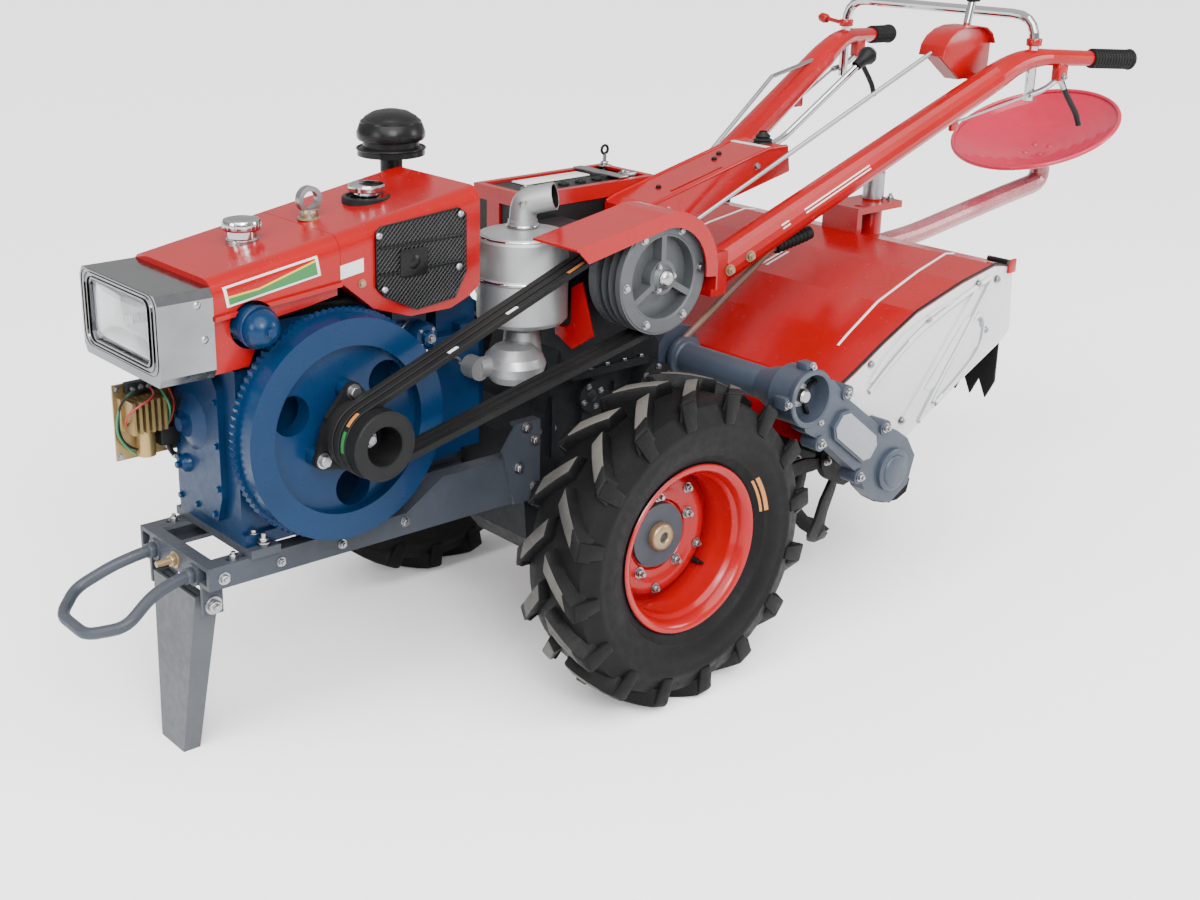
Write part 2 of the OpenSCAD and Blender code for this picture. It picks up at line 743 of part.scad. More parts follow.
can_sink = 22;
can_z = block_top - can_sink;
can_profile_shares = [[0, -0.14], [0.34, -0.14], [0.5, -0.02], [0.92, 0], [1, 0.05], [1, 0.48], [1.04, 0.5],
    [1.04, 0.53], [1, 0.55], [1, 0.94], [0.9, 1.0], [0.5, 1.04], [0.32, 1.06], [0.32, 1.14], [0, 1.14]];
elbow_r = 24;
neck_z = can_z + last(can_profile_shares)[1] * can_h;
elbow_corners = [[can_x, can_y, neck_z], [can_x, can_y, neck_z + 1.3 * elbow_r],
    [can_x - 2.6 * elbow_r, can_y, neck_z + 2 * elbow_r]];
exhaust_z = bed_z + 0.72 * block_h;
bowl_set = 48;
bowl_out = 36;
exhaust_bowl_r = 62;
exhaust_bowl_h = 76;
bowl_profile_shares = [[0, -0.5], [0.7, -0.46], [0.92, -0.24], [1, 0], [0.9, 0.2], [0.62, 0.42], [0, 0.5]];
port_r = 22;

module silencer() {
    color("silver") {
        translate([can_x, can_y, can_z]) rotate_extrude()
            polygon(spread(can_profile_shares, [0, 0], [can_r, can_h]));
        translate([can_x, can_y, exhaust_z]) cylinder(h = can_z - exhaust_z, r1 = 1.7 * elbow_r,
            r2 = 1.3 * elbow_r);
        translate([can_x + bowl_set, can_y + bowl_out, exhaust_z]) rotate_extrude()
            polygon(spread(bowl_profile_shares, [0, 0], [exhaust_bowl_r, exhaust_bowl_h]));
        pin(head_rear + head_l / 2, exhaust_z, [cyl_half, can_y + bowl_out], port_r);
        translate([can_x + bowl_set, can_y + bowl_out - port_r / 2, exhaust_z]) rotate([0, 90, 0])
            cylinder(h = head_rear + head_l / 2 - can_x - bowl_set, r = 0.9 * port_r);
    }
}

module exhaust_pipes() {
    color("silver") bar(bent(elbow_corners, elbow_r), elbow_r, elbow_r);
}

board_reach = 125;
board_rise = 124;
board_x = block_front + board_reach;
board_t = 4;
board_low = bed_z + board_rise;
board_h = 142;
board_lap = 66;
fin_l = 52;
fin_h = 60;
fin_t = 6;
fin_count = 6;

module electrical_panel() {
    color("goldenrod") {
        box([block_front - board_lap, board_x], [-block_half - board_t, -block_half], [board_low,
            board_low + board_h]);
        for (i = [0:fin_count - 1]) let (x = board_x - fin_t * (2 * i + 3))
            box([x, x + fin_t], [-block_half, -block_half + fin_l], [board_low + fin_h,
                board_low + 2 * fin_h]);
        box([board_x - fin_t * (2 * fin_count + 1), board_x - fin_t], [-block_half,
            -block_half + fin_l / 3],
            [board_low + fin_h, board_low + 2 * fin_h]);
        translate([board_x - fin_l, -block_half + fin_l / 4, board_low + fin_t])
            cylinder(h = fin_h - 2 * fin_t, r = fin_l / 3);
    }
}

// Belt drive

web_t = 20;
dish_r = 0.76 * fly_r;
hole_r = 0.18 * fly_r;
hole_at = 0.57 * fly_r;
gear_w = 16;
tooth_d = 5;
gear_outline = [for (i = [0:2 * gear_teeth - 1])
    (gear_r - (i % 2) * tooth_d) * [cos(180 * i / gear_teeth), sin(180 * i / gear_teeth)]];
fly_out = fly_y + fly_w;
lug_bolt_at = 1.2 * pulley_r;
lug_bolt_r = 17;
flange_gap = 3;
flange_y = fly_out + flange_gap;
flange_t = 10;

module flywheel() {
    color("royalblue") along_y(fly_x, fly_z) {
        difference() {
            union() {
                translate([0, 0, fly_y]) cylinder(h = fly_w, r = fly_r);
                translate([0, 0, fly_y]) linear_extrude(gear_w) polygon(gear_outline);
            }
            translate([0, 0, fly_out - web_t]) cylinder(h = web_t + over, r = dish_r);
            for (a = [22, 142, 262]) rotate([0, 0, -a]) translate([hole_at, 0, fly_y - over])
                cylinder(h = fly_w + 2 * over, r = hole_r);
        }
        for (a = [90, 210, 330]) rotate([0, 0, -a]) translate([lug_bolt_at, 0, fly_out - web_t])
            cylinder(h = flange_y - fly_out + web_t, r = lug_bolt_r);
        translate([0, 0, fly_out - web_t]) cylinder(h = flange_y - fly_out + web_t, r = 0.7 * pulley_r);
        translate([0, 0, block_half / 2 + over]) cylinder(h = fly_y - block_half / 2, r = crank_r);
    }
}

belt_span = (belt_count - 1) * belt_pitch;
groove_w = belt_w + 4 * fit;
groove_play = 4;
groove_d = belt_t + groove_play;
crown_d = 2;
belts_out = belt_y + (belt_span + belt_pitch) / 2;
belts_in = belt_y - (belt_span + belt_pitch) / 2;
snout_l = 23.5;
pulley_end = belts_out + snout_l;
pulley_bore = 0.57 * pulley_r;

// Rim of a pulley in radius and y, with a groove for each belt
function groove(r, y) = [[r, y - groove_w / 2], [r - groove_d, y - groove_w / 2], [r - groove_d,
    y + groove_w / 2],
    [r, y + groove_w / 2]];
function belt_place(i) = belt_y - belt_span / 2 + i * belt_pitch;
function pulley_rim(r, y0, y1) = concat([[0, y0], [r, y0]],
    [for (i = [0:belt_count - 1]) for (p = groove(r, belt_place(i))) p], [[r, y1], [0, y1]]);
flange_shares = [[0.6, -0.9], [0.6, 0.9], [1.3, 0.26], [1.3, -0.26]];

module engine_pulley() {
    color("black") along_y(fly_x, fly_z) {
        difference() {
            rotate_extrude() polygon(pulley_rim(pulley_r, flange_y + flange_t / 2, pulley_end));
            translate([0, 0, pulley_end - pulley_r]) cylinder(h = pulley_r + over, r = pulley_bore);
        }
        translate([0, 0, flange_y]) cylinder(h = flange_t, r = pulley_r);
        for (a = [90, 210, 330]) rotate([0, 0, -a]) translate([0, 0, flange_y]) {
            linear_extrude(flange_t) polygon(spread(flange_shares, [0, 0], [pulley_r, pulley_r]));
            translate([lug_bolt_at, 0, 0]) cylinder(h = flange_t, r = lug_bolt_r);
            translate([lug_bolt_at, 0, flange_t]) cylinder(h = 0.8 * flange_t, r = lug_bolt_r / 2, $fn = 6);
        }
    }
}

clutch_lip = 11.5;
clutch_back = 18.5;
clutch_out = belts_out + clutch_lip;
clutch_in = belts_in - clutch_back;
clutch_hub = 0.3 * clutch_r;
clutch_dish = 0.72 * clutch_r;
clutch_shaft = 22;
rib_w = 12;
dish_d = 24;

module clutch_pulley() {
    color("gray") along_y(clutch_x, clutch_z) {
        difference() {
            rotate_extrude() polygon(pulley_rim(clutch_r, clutch_in, clutch_out));
            translate([0, 0, clutch_out - dish_d]) difference() {
                cylinder(h = dish_d + over, r = clutch_dish);
                translate([0, 0, -over]) cylinder(h = dish_d + 3 * over, r = clutch_hub);
                for (a = [30, 150, 270]) rotate([0, 0, a]) translate([0, -rib_w / 2, -over])
                    cube([1.2 * clutch_dish, rib_w, dish_d + 4 * over]);
            }
        }
        translate([0, 0, clutch_out - over]) cylinder(h = dish_d / 3, r1 = clutch_hub * 0.8,
            r2 = clutch_hub * 0.5);
        translate([0, 0, clutch_in - stub_l]) cylinder(h = stub_l + over, r = clutch_shaft);
    }
}

belt_dx = clutch_x - fly_x;
belt_dz = clutch_z - fly_z;
belt_len = norm([belt_dx, belt_dz]);
belt_tilt = atan2(belt_dz, -belt_dx);
wrap_steps = 14;

// Loop round both pulleys at a depth below their outer radius
function belt_loop(depth) = let (a = clutch_r - depth, b = pulley_r - depth,
    lean = asin((a - b) / belt_len))
    concat([for (i = [0:wrap_steps]) let (w = 90 - lean + (180 + 2 * lean) * i / wrap_steps)
        [a * cos(w), a * sin(w)]],
        [for (i = [0:wrap_steps]) let (w = 270 + lean + (180 - 2 * lean) * i / wrap_steps)
        [belt_len + b * cos(w), b * sin(w)]]);

module drive_belts() {
    color("black") translate([clutch_x, 0, clutch_z]) rotate([0, belt_tilt, 0]) for (i = [0:belt_count - 1])
        difference() {
            slab(belt_loop(-crown_d), [belt_place(i) - belt_w / 2, belt_place(i) + belt_w / 2]);
            slab(belt_loop(belt_t - crown_d), [belt_place(i) - belt_w, belt_place(i) + belt_w]);
        }
}

guard_gap = 18;
guard_r = clutch_r + guard_gap;
guard_in = clutch_in - guard_gap;
guard_out = clutch_out + guard_gap;
guard_skirt = 30;
guard_l = 232;
guard_front = clutch_x + guard_l;
guard_steps = 10;
guard_from = 186;
guard_to = 72;
function guard_arc(r) = [for (i = [0:guard_steps])
    let (w = guard_from - (guard_from - guard_to) * i / guard_steps)
    [clutch_x + r * cos(w), clutch_z + r * sin(w)]];
guard_tip = [guard_front, clutch_z + 0.7 * guard_r];
guard_top = concat(guard_arc(guard_r), [guard_tip]);
guard_under = concat(guard_arc(guard_r - sheet_t), [guard_tip - [0, sheet_t]]);
guard_skirt_edge = concat(guard_arc(guard_r - guard_skirt), [guard_tip - [guard_skirt, guard_skirt]]);
strap_w = 40;
stay_shares = [[-0.3, -0.75], [0, -0.5], [0, 0.05], [0.22, 0.18], [0.5, -0.6], [0.04, -0.9]];
stay_x = box_front - 0.22 * box_l;
shaft_boss_r = 46;

module belt_guard() {
    color("firebrick") {
        slab(concat(guard_top, flip(guard_under)), [guard_in, guard_out]);
        slab(concat(guard_top, flip(guard_skirt_edge)), [guard_out - sheet_t, guard_out]);
        slab([[clutch_x - guard_r, clutch_z], [clutch_x - guard_r + sheet_t, clutch_z],
            [clutch_x - guard_r + sheet_t, clutch_z - strap_w], [clutch_x - guard_r, clutch_z - strap_w]],
            [box_top_left, guard_out]);
        box([clutch_x - guard_r, clutch_x - shaft_boss_r - strap_w / 4], [box_top_left,
            box_top_left + 2 * sheet_t],
            [clutch_z - strap_w, clutch_z]);
        difference() {
            union() {
                panel(spread(stay_shares, [box_top_left, clutch_z - strap_w], [guard_r, guard_r]),
                    [stay_x, stay_x + sheet_t]);
                box([stay_x - strap_w, stay_x + sheet_t], [box_half, box_top_left],
                    [clutch_z - strap_w - 0.75 * guard_r, clutch_z - strap_w - 0.6 * guard_r]);
            }
            slab(box_top_outline, [-box_top_right, box_top_left]);
        }
    }
}

// Gearbox, axle housings and battery

box_shares = [[0, 0.22], [0, 0.4], [-0.14, 0.47], [-0.24, 0.66], [-0.62, 0.66], [-0.96, 0.64], [-1,
    0.61], [-1, 0.44],
    [-0.86, 0.38], [-0.56, 0.1], [-0.44, 0], [-0.14, 0], [-0.02, 0.08]];
box_outline = spread(box_shares, [box_front, box_low], [box_l, box_h]);
box_top_shares = [[-0.24, 0.6], [-0.26, 0.94], [-0.36, 1], [-0.62, 1], [-0.78, 0.95], [-0.78, 0.6]];
box_top_outline = spread(box_top_shares, [box_front, box_low], [box_l, box_h]);
box_top_right = 56;
box_top_left = 150;
cover_disc_x = box_front - 0.9 * box_l;
cover_disc_z = box_low + 0.5 * box_h;
box_shoulder = box_low + box_shares[4][1] * box_h;
seam = 8;
seam_z = box_low + 0.6 * box_h;
box_rib_shares = [-0.2, -0.42, -0.66];
boss_disc_shares = [-0.45, 0.5];
cover_disc_r = 46;
cover_disc_l = 34;

module gearbox() {
    color("dimgray") difference() {
        union() {
            slab(box_outline, [-box_half, box_half]);
            slab(box_top_outline, [-box_top_right, box_top_left]);
            pin(cover_disc_x, cover_disc_z, [box_half, box_half + cover_disc_l], cover_disc_r);
            pin(box_front + boss_disc_shares[0] * box_l, box_low + boss_disc_shares[1] * box_h,
                [box_half, box_half + cover_disc_l / 2], 0.7 * cover_disc_r);
            box([base_front, box_front + box_top_shares[0][0] * box_l + seam], [-box_half,
                box_top_left + seam],
                [seam_z - seam, seam_z + seam]);
            for (share = box_rib_shares) both_sides()
                box([box_front + share * box_l, box_front + share * box_l + seam], [box_half,
                    box_half + seam],
                    [axle_z + 2 * cover_disc_r, cover_disc_z + cover_disc_r / 3]);
            pin(clutch_x, clutch_z, [box_top_left, box_top_left + shaft_boss_r / 2], shaft_boss_r);
        }
        pin(clutch_x, clutch_z, [clutch_in - stub_l - over, clutch_in], clutch_shaft + fit);
        pin(0, axle_z, [-box_half - over, box_half + over], axle_r + 2 * fit);
    }
}

hub_gap = 6;
housing_out = disc_y - disc_t - hub_l - hub_gap;
housing_r = 58;
housing_end_r = 44;

module axle_housings() {
    color("dimgray") both_sides() along_y(0, axle_z) translate([0, 0, box_half]) difference() {
        union() {
            cylinder(h = disc_t, r = housing_r + disc_t);
            cylinder(h = housing_out - box_half, r1 = housing_r, r2 = housing_end_r);
        }
        translate([0, 0, -over]) cylinder(h = housing_out, r = axle_r + fit);
    }
}

battery_l = 310;
battery_w = 166;
battery_h = 223;
battery_gap = 10;
battery_set = 94;
battery_rise = 48;
battery_x = box_front - box_l - battery_set;
battery_y = -box_top_right - battery_gap - battery_w;
battery_low = box_shoulder + battery_rise;
battery_top = battery_low + battery_h;
tray_t = 5;
tray_h = 30;
tray_lip = 16;
tray_tail = 42;
tray_x = [battery_x - tray_tail, battery_x + battery_l + tray_t];
tray_y = [battery_y - tray_t, battery_y + battery_w + tray_t];
tray_z = [battery_top + tray_t - tray_h, battery_top + tray_t];
shelf_t = 8;
hanger_w = 40;

module battery() {
    color("black") box([battery_x, battery_x + battery_l], [battery_y, battery_y + battery_w],
        [battery_low, battery_top]);
}

module battery_tray() {
    color("firebrick") {
        difference() {
            box(tray_x, tray_y, tray_z);
            box([tray_x[0] + tray_t, battery_x + battery_l], [battery_y, battery_y + battery_w],
                [tray_z[0] - over, battery_top]);
            box([tray_x[0] + tray_lip, tray_x[1] - tray_lip], [tray_y[0] + tray_lip, tray_y[1] - tray_lip],
                [battery_top - over, tray_z[1] + over]);
        }
        box([battery_x + hanger_w, tray_x[1]], [battery_y, -box_top_right], [battery_low - shelf_t,
            battery_low]);
        box([battery_x + battery_l, tray_x[1]], [battery_y + hanger_w, battery_y + 2 * hanger_w],
            [battery_low - shelf_t, tray_z[0]]);
        box([battery_x + 2 * hanger_w, battery_x + battery_l - hanger_w], [-box_half, -box_top_right],
            [box_shoulder, battery_low - shelf_t]);
    }
}

// Handles and controls

base_front = box_front + last(box_top_shares)[0] * box_l;
base_l = 223;
base_rear = base_front - base_l;
base_half = 52;
base_gap = 12;
base_h = 160;
base_low = box_shoulder + base_gap;
base_high = base_low + base_h;
yoke_l = 46;
yoke_half = 150;
console_shares = [[0, 0], [-0.16, 0.1], [-1, 0.62], [-0.98, 1], [-0.84, 1], [-0.06, 0.48], [0, 0.4]];
console_set = 67;
console_front = base_front - console_set;
console_l = 430;
console_gap = 6;
console_low = base_high + console_gap;
console_h = 148;
console_half = 60;

module console_body() {
    slab(spread(console_shares, [console_front, console_low], [console_l, console_h]), [-console_half,
        console_half]);
}

module handle_base() {
    color("firebrick") {
        box([base_rear, base_front], [-base_half, base_half], [base_low, base_high]);
        box([base_rear, base_rear + yoke_l], [-yoke_half, yoke_half], [base_low + yoke_l,
            base_high - yoke_l / 2]);
        console_body();
        box([base_rear, console_front - yoke_l], [-base_half, base_half], [base_high,
            console_low + yoke_l]);
        box([rod_front[0] + rod_r / 2, rod_front[0] + 3 * rod_r], [base_half, rod_front[1] + 2 * rod_r],
            [rod_front[2] - 3 * rod_r, rod_front[2] + 3 * rod_r]);
    }
}

root_half = 110;
root_rise = 4;
bend_rise = 19;
handle_root = [base_rear + handle_r / 2, root_half, (base_low + base_high) / 2 + root_rise];
handle_bend = [-bend_reach, bend_half, grip_z + bend_rise];
handle_end = [-grip_reach, grip_half, grip_z];
handle_steps = 4;
handle_sides = 16;
function handle_at(share) = handle_root + share * (handle_bend - handle_root);
handle_path = concat(
    [for (i = [0:handle_steps]) handle_at(0.9 * i / handle_steps)],
    bezier(handle_at(0.93), handle_bend, handle_bend + 0.22 * (handle_end - handle_bend), bend_steps),
    [handle_end]);

module handle_bar() {
    bar(handle_path, handle_r, handle_end_r, [0, 1, 0], handle_sides);
}

module handle() {
    color("firebrick") difference() {
        handle_bar();
        translate([hoop_x, hoop_half, hoop_low - over]) cylinder(h = hoop_z - hoop_low, r = hoop_r + fit);
        box([base_rear - fit, base_rear + yoke_half], [0, yoke_half + handle_r], [base_low,
            base_high + handle_r]);
    }
}
module left_handle() { handle(); }
module right_handle() { mirror([0, 1, 0]) handle(); }

grip_wall = 5;

module grips() {
    color("black") both_sides() difference() {
        bar([handle_end + grip_l * unit(handle_bend - handle_end),
            handle_end + grip_wall * unit(handle_end - handle_bend)], handle_end_r + grip_wall,
                handle_end_r + grip_wall);
        handle_bar();
    }
}

hoop_set = 20;
hoop_lap = 6;
hoop_drop = 78;
hoop_x = -bend_reach - hoop_set;
hoop_half = bend_half + hoop_lap;
hoop_low = grip_z - hoop_drop;
hoop_bend = 60;
hoop_side = [[hoop_x, hoop_half, hoop_low], [hoop_x, hoop_half, hoop_z - hoop_r]];
hoop_corners = concat(hoop_side, flip(mirror_y(hoop_side)));

module hoop() {
    color("silver") bar(bent(hoop_corners, hoop_bend), hoop_r, hoop_r, [1, 0, 0]);
}

quad_set = 124;
quad_in = 82;
quad_drop = 26;
quad_x = quad_set - bend_reach;
quad_y = bend_half - quad_in;
quad_w = 36;
quad_shares = [[0.84, 0.62], [0.5, 0.9], [0.1, 1], [-0.35, 0.96], [-0.62, 0.66], [-0.6, 0], [0.2, 0],
    [0.84, 0.5]];
quad_l = 120;
quad_low = grip_z - quad_drop;
quad_h = 110;
lever_r = 8;
knob_ball = 20;
knob_lean = 30;
knob_rise = 38;
quad_knob = [quad_x - knob_lean, quad_y, hoop_z + knob_rise];

module lever_quadrant() {
    color("firebrick") {
        slab(spread(quad_shares, [quad_x, quad_low], [quad_l, quad_h]), [quad_y - quad_w / 2,
            quad_y + quad_w / 2]);
        bar([[quad_x, quad_y, quad_low + quad_h / 2], quad_knob], lever_r, lever_r);
        translate(quad_knob) sphere(r = knob_ball);
        difference() {
            box([quad_x - quad_w, quad_x], [quad_y, bend_half], [quad_low, quad_low + lever_r]);
            handle_bar();
        }
    }
}

gear_root = [console_front - 0.94 * console_l, 0, console_low + 0.9 * console_h];
gear_reach = 334;
gear_rise = 178;
gear_tip = gear_root + [-gear_reach, 0, gear_rise];

module gear_lever() {
    color("silver") {
        difference() {
            bar(bent([gear_root, gear_root + [-console_half, 0, console_half / 4], gear_tip],
                console_half / 2),
                lever_r, lever_r);
            console_body();
        }
        translate(gear_tip) sphere(r = knob_ball);
    }
}

squeeze_set = 96;
squeeze_x = -bend_reach - squeeze_set;
squeeze_drop = 64;
squeeze_l = 120;
squeeze_corners = [[squeeze_x, hoop_half + knob_ball, grip_z], [squeeze_x, hoop_half + knob_ball,
    grip_z - squeeze_drop],
    [squeeze_x - squeeze_l, grip_half - handle_end_r, grip_z - squeeze_drop]];

module steering_levers() {
    color("gray") both_sides() difference() {
        bar(bent(squeeze_corners, knob_ball), lever_r, lever_r, [0, 1, 0]);
        handle_bar();
    }
}

rod_r = 5;
rod_set = 40;
rod_out = 26;
rod_front = [base_rear + rod_set, base_half + rod_out, base_high + rod_out];
rod_rear = [quad_x + 0.84 * quad_l + rod_r / 2, quad_y, quad_low + 0.56 * quad_h];
cable_in = 39;
cable_rise = 118;
cable_path = [[base_rear + yoke_l / 2, yoke_half / 2, base_high - yoke_l / 2 + rod_r],
    handle_at(0.56) + [0, -cable_in, cable_rise], handle_at(0.9)];

module control_rods() {
    color("silver") {
        bar([rod_front, rod_rear], rod_r, rod_r);
        mirror([0, 1, 0]) difference() {
            bar(cable_path, rod_r, rod_r);
            handle_bar();
        }
    }
}

// Tiller

tiller_set = 34;
tiller_rise = 36;
tiller_x = -tube_back - tiller_set;
tiller_low = rotor_z + tiller_rise;
tiller_size = [tiller_l, tiller_h];
// Outline of a tiller side from its front lower corner round the top
side_shares = [[0, 0.18], [-0.05, 0.29], [-0.145, 0.47], [-0.217, 0.538], [-0.34, 0.668], [-0.5, 0.815],
    [-0.725, 0.932], [-0.893, 0.994], [-0.995, 0.965]];
side_low_shares = [[-1.01, 0.54], [-0.966, 0.47], [-0.687, 0.21], [-0.565, 0.08], [-0.49, 0]];
side_top = spread(side_shares, [tiller_x, tiller_low], tiller_size);
side_low = spread(side_low_shares, [tiller_x, tiller_low], tiller_size);
side_front_shares = [[-0.34, 0.05], [-0.16, 0.36]];
side_front = spread(side_front_shares, [tiller_x, tiller_low], tiller_size);
hood_under = [for (p = side_top) p - sheet_t * unit(p - [-rotor_back - 0.1 * tiller_l, rotor_z])];
side_outline = concat([for (i = [2:len(hood_under) - 1]) hood_under[i]], side_low, side_front);
seal_r = 0.28 * tine_r;
rotor_shaft_r = 24;
bearing_r = 50;
bearing_t = 26;
rib_t = 5;
rib_line_w = 12;
arc_rib_shares = [[-0.757, 0.85], [-0.6, 0.8], [-0.45, 0.7], [-0.35, 0.57], [-0.29, 0.45]];
long_rib_shares = [[-0.81, 0.9], [-0.47, 0.13]];
pressing_shares = [[-0.75, 0.68], [-0.78, 0.7], [-0.87, 0.56], [-0.86, 0.51], [-0.6, 0.28], [-0.57, 0.3]];
// Outline of a pressed line of one width along a row of shares
function rib_outline(shares) = concat(spread(shares, [tiller_x - rib_line_w / 2, tiller_low], tiller_size),
    flip(spread(shares, [tiller_x + rib_line_w / 2, tiller_low], tiller_size)));

module side_plate() {
    difference() {
        slab(side_outline, [tiller_half - sheet_t, tiller_half]);
        pin(-rotor_back, rotor_z, [tiller_half - 2 * sheet_t, tiller_half + sheet_t], seal_r);
    }
    for (shares = [arc_rib_shares, long_rib_shares]) slab(rib_outline(shares), [tiller_half,
        tiller_half + rib_t]);
    slab(spread(pressing_shares, [tiller_x, tiller_low], tiller_size), [tiller_half,
        tiller_half + rib_t / 2]);
}

module left_side_plate() { color("white") side_plate(); }

module right_side_plate() {
    color("white") mirror([0, 1, 0]) {
        side_plate();
        difference() {
            union() {
                pin(-rotor_back, rotor_z, [tiller_half - sheet_t, tiller_half + bearing_t], bearing_r);
                pin(-rotor_back, rotor_z, [tiller_half - sheet_t, tiller_half + sheet_t],
                    seal_r + 2 * sheet_t);
            }
            pin(-rotor_back, rotor_z, [tiller_half - 2 * sheet_t, tiller_half + bearing_t - sheet_t],
                rotor_shaft_r + fit);
        }
    }
}

apron_x = tiller_x - tiller_l;
apron_rise = 176;
apron_low = tiller_low + apron_rise;

module tiller_hood() {
    color("firebrick") {
        slab(concat(side_top, flip(hood_under)), [-tiller_half, tiller_half]);
        slab([last(side_top), [apron_x - 2 * sheet_t, apron_low], [apron_x - sheet_t, apron_low],
            last(hood_under)],
            [sheet_t - tiller_half, tiller_half - sheet_t]);
    }
}

flap_rise = 24;
flap_low = tiller_low + flap_rise;
flap_t = 6;
flap_half = tiller_half - 3 * sheet_t;
tooth_count = 18;
tooth_w = 2 * flap_half / tooth_count;
tooth_h = 44;
tooth_shares = [[0, 1], [0.15, 0], [0.65, 0], [0.8, 1]];
flap_teeth = [for (i = [0:tooth_count - 1]) for (s = tooth_shares)
    [(i + s[0]) * tooth_w - flap_half, flap_low + s[1] * tooth_h]];
flap_lap = 24;

module rear_flap() {
    color("black") panel(concat([[-flap_half, apron_low + flap_lap]], flap_teeth,
        [[flap_half, flap_low + tooth_h], [flap_half, apron_low + flap_lap]]),
        [apron_x - 2 * sheet_t - flap_t, apron_x - 2 * sheet_t]);
}

post_set = 44;
post_rise = 216;
beam_rise = 80;
bracket_rise = 40;
post_x = apron_x - post_set;
post_r = 24;
post_low = tiller_low + post_rise;
beam_z = apron_low + beam_rise;
beam_h = 60;
bracket_z = tiller_low + tiller_h + bracket_rise;
bracket_t = 16;
bracket_half = 52;
bracket_hole = 9;
bracket_lap = 70;
bracket_tail = 44;
bracket_front = apron_x + bracket_lap;
bracket_rear = post_x - bracket_tail;
bracket_pitch = 60;

module tail_post() {
    color("firebrick") {
        translate([post_x, 0, post_low]) cylinder(h = post_top - post_low, r = post_r);
        difference() {
            union() {
                box([bracket_rear, bracket_front], [-bracket_half, bracket_half], [bracket_z,
                    bracket_z + bracket_t]);
                box([bracket_front - bracket_t, bracket_front], [-bracket_half, bracket_half],
                    [post_low, bracket_z]);
            }
            slab(concat(side_top, side_low), [-tiller_half, tiller_half]);
            for (s = [-1, 1]) translate([bracket_front - 1.6 * bracket_t, s * bracket_pitch / 2,
                bracket_z - over])
                cylinder(h = bracket_t + 2 * over, r = bracket_hole);
        }
        box([post_x, apron_x - 2 * sheet_t], [-beam_h / 2, beam_h / 2], [beam_z, beam_z + beam_h]);
    }
}

arm_shares = [[-0.16, 0.4], [-0.24, 0.24]];
arm_end = spread(arm_shares, [tiller_x, tiller_low], tiller_size);
bell_r = 58;
bell_l = 62;
bell_d = 36;
bell_step = 6;
bell_wall = 10;
case_gap = 2;
case_w = 36;
case_in = tiller_half + case_gap;
case_out = case_in + case_w;
bell_end = case_out + case_gap;
bell_profile = [[0, box_half], [tube_r, box_half], [tube_r, bell_end - 2 * bell_l],
    [bell_r - bell_step, bell_end - bell_l],
    [bell_r, bell_end - bell_l], [bell_r, bell_end], [bell_r - bell_wall, bell_end],
    [bell_r - bell_wall, bell_end - bell_d], [0, bell_end - bell_d]];
drive_case_shares = [[0, 0.1], [0, 0.75], [-0.25, 1], [-0.75, 0.9], [-1, 0.5], [-0.9, 0.1], [-0.5, -0.1]];
drive_case_l = 130;
drive_case_h = 150;
drive_case_drop = 78;
drive_case_z = tube_z - drive_case_drop;
arm_outline = concat([[tube_r - tube_back, tube_z - tube_r], [-tube_back, tube_z + tube_r]], arm_end);

module tiller_drive() {
    color("lightslategray") {
        along_y(-tube_back, tube_z) rotate_extrude() polygon(bell_profile);
        mirror([0, 1, 0]) along_y(-tube_back, tube_z) cylinder(h = tiller_half + bearing_t, r = tube_r);
        slab(spread(drive_case_shares, [box_front - box_l, drive_case_z], [drive_case_l, drive_case_h]),
            [-box_half, box_half]);
        mirror([0, 1, 0]) slab(arm_outline, [tiller_half, tiller_half + bearing_t / 2]);
    }
}

case_dx = tube_back - rotor_back;
case_dz = rotor_z - tube_z;
case_len = norm([case_dx, case_dz]);
case_tilt = atan2(case_dz, -case_dx);
case_shares = [[0.02, 0.13], [0.1, 0.175], [0.3, 0.15], [0.72, 0.16], [0.86, 0.21], [1, 0.22],
    [1.15, 0.17], [1.22, 0], [1.15, -0.17], [1, -0.22], [0.86, -0.21], [0.72, -0.16], [0.3, -0.15],
    [0.1, -0.175], [0.02, -0.13]];
window_shares = [[0.34, 0.1], [0.68, 0.1], [0.74, 0.05], [0.74, -0.05], [0.68, -0.1], [0.34, -0.1],
    [0.28, -0.05], [0.28, 0.05]];
case_lug_r = 16;
case_lug_shares = [0.26, 0.74];
case_lug_at = 0.17 * case_len;
end_cap_r = 46;
end_cap_t = 8;

module chain_case() {
    color("slategray") difference() {
        union() {
            translate([-tube_back, 0, tube_z]) rotate([0, 180 + case_tilt, 0]) {
                slab(spread(case_shares, [0, 0], [case_len, case_len]), [case_in, case_out]);
                slab(spread(window_shares, [0, 0], [case_len, case_len]), [case_out, case_out + end_cap_t]);
                for (share = case_lug_shares, side = [-1, 1])
                    pin(share * case_len, side * case_lug_at, [case_in, case_out + end_cap_t / 2],
                        case_lug_r);
            }
            pin(-rotor_back, rotor_z, [case_out, case_out + end_cap_t], end_cap_r);
            pin(-rotor_back, rotor_z, [tiller_half - sheet_t, case_in], seal_r - fit);
        }
        pin(-tube_back, tube_z, [tiller_half, case_out + end_cap_t], bell_r + fit);
        pin(-rotor_back, rotor_z, [tiller_half - 2 * sheet_t, case_out - end_cap_t], rotor_shaft_r + fit);
    }
}

shaft_end = tiller_half + bearing_t - 2 * sheet_t;
tine_t = 9;
flange_r = 66;
flange_half = 330;
function flange_place(i) = -flange_half + 2 * flange_half * i / (flange_count - 1);
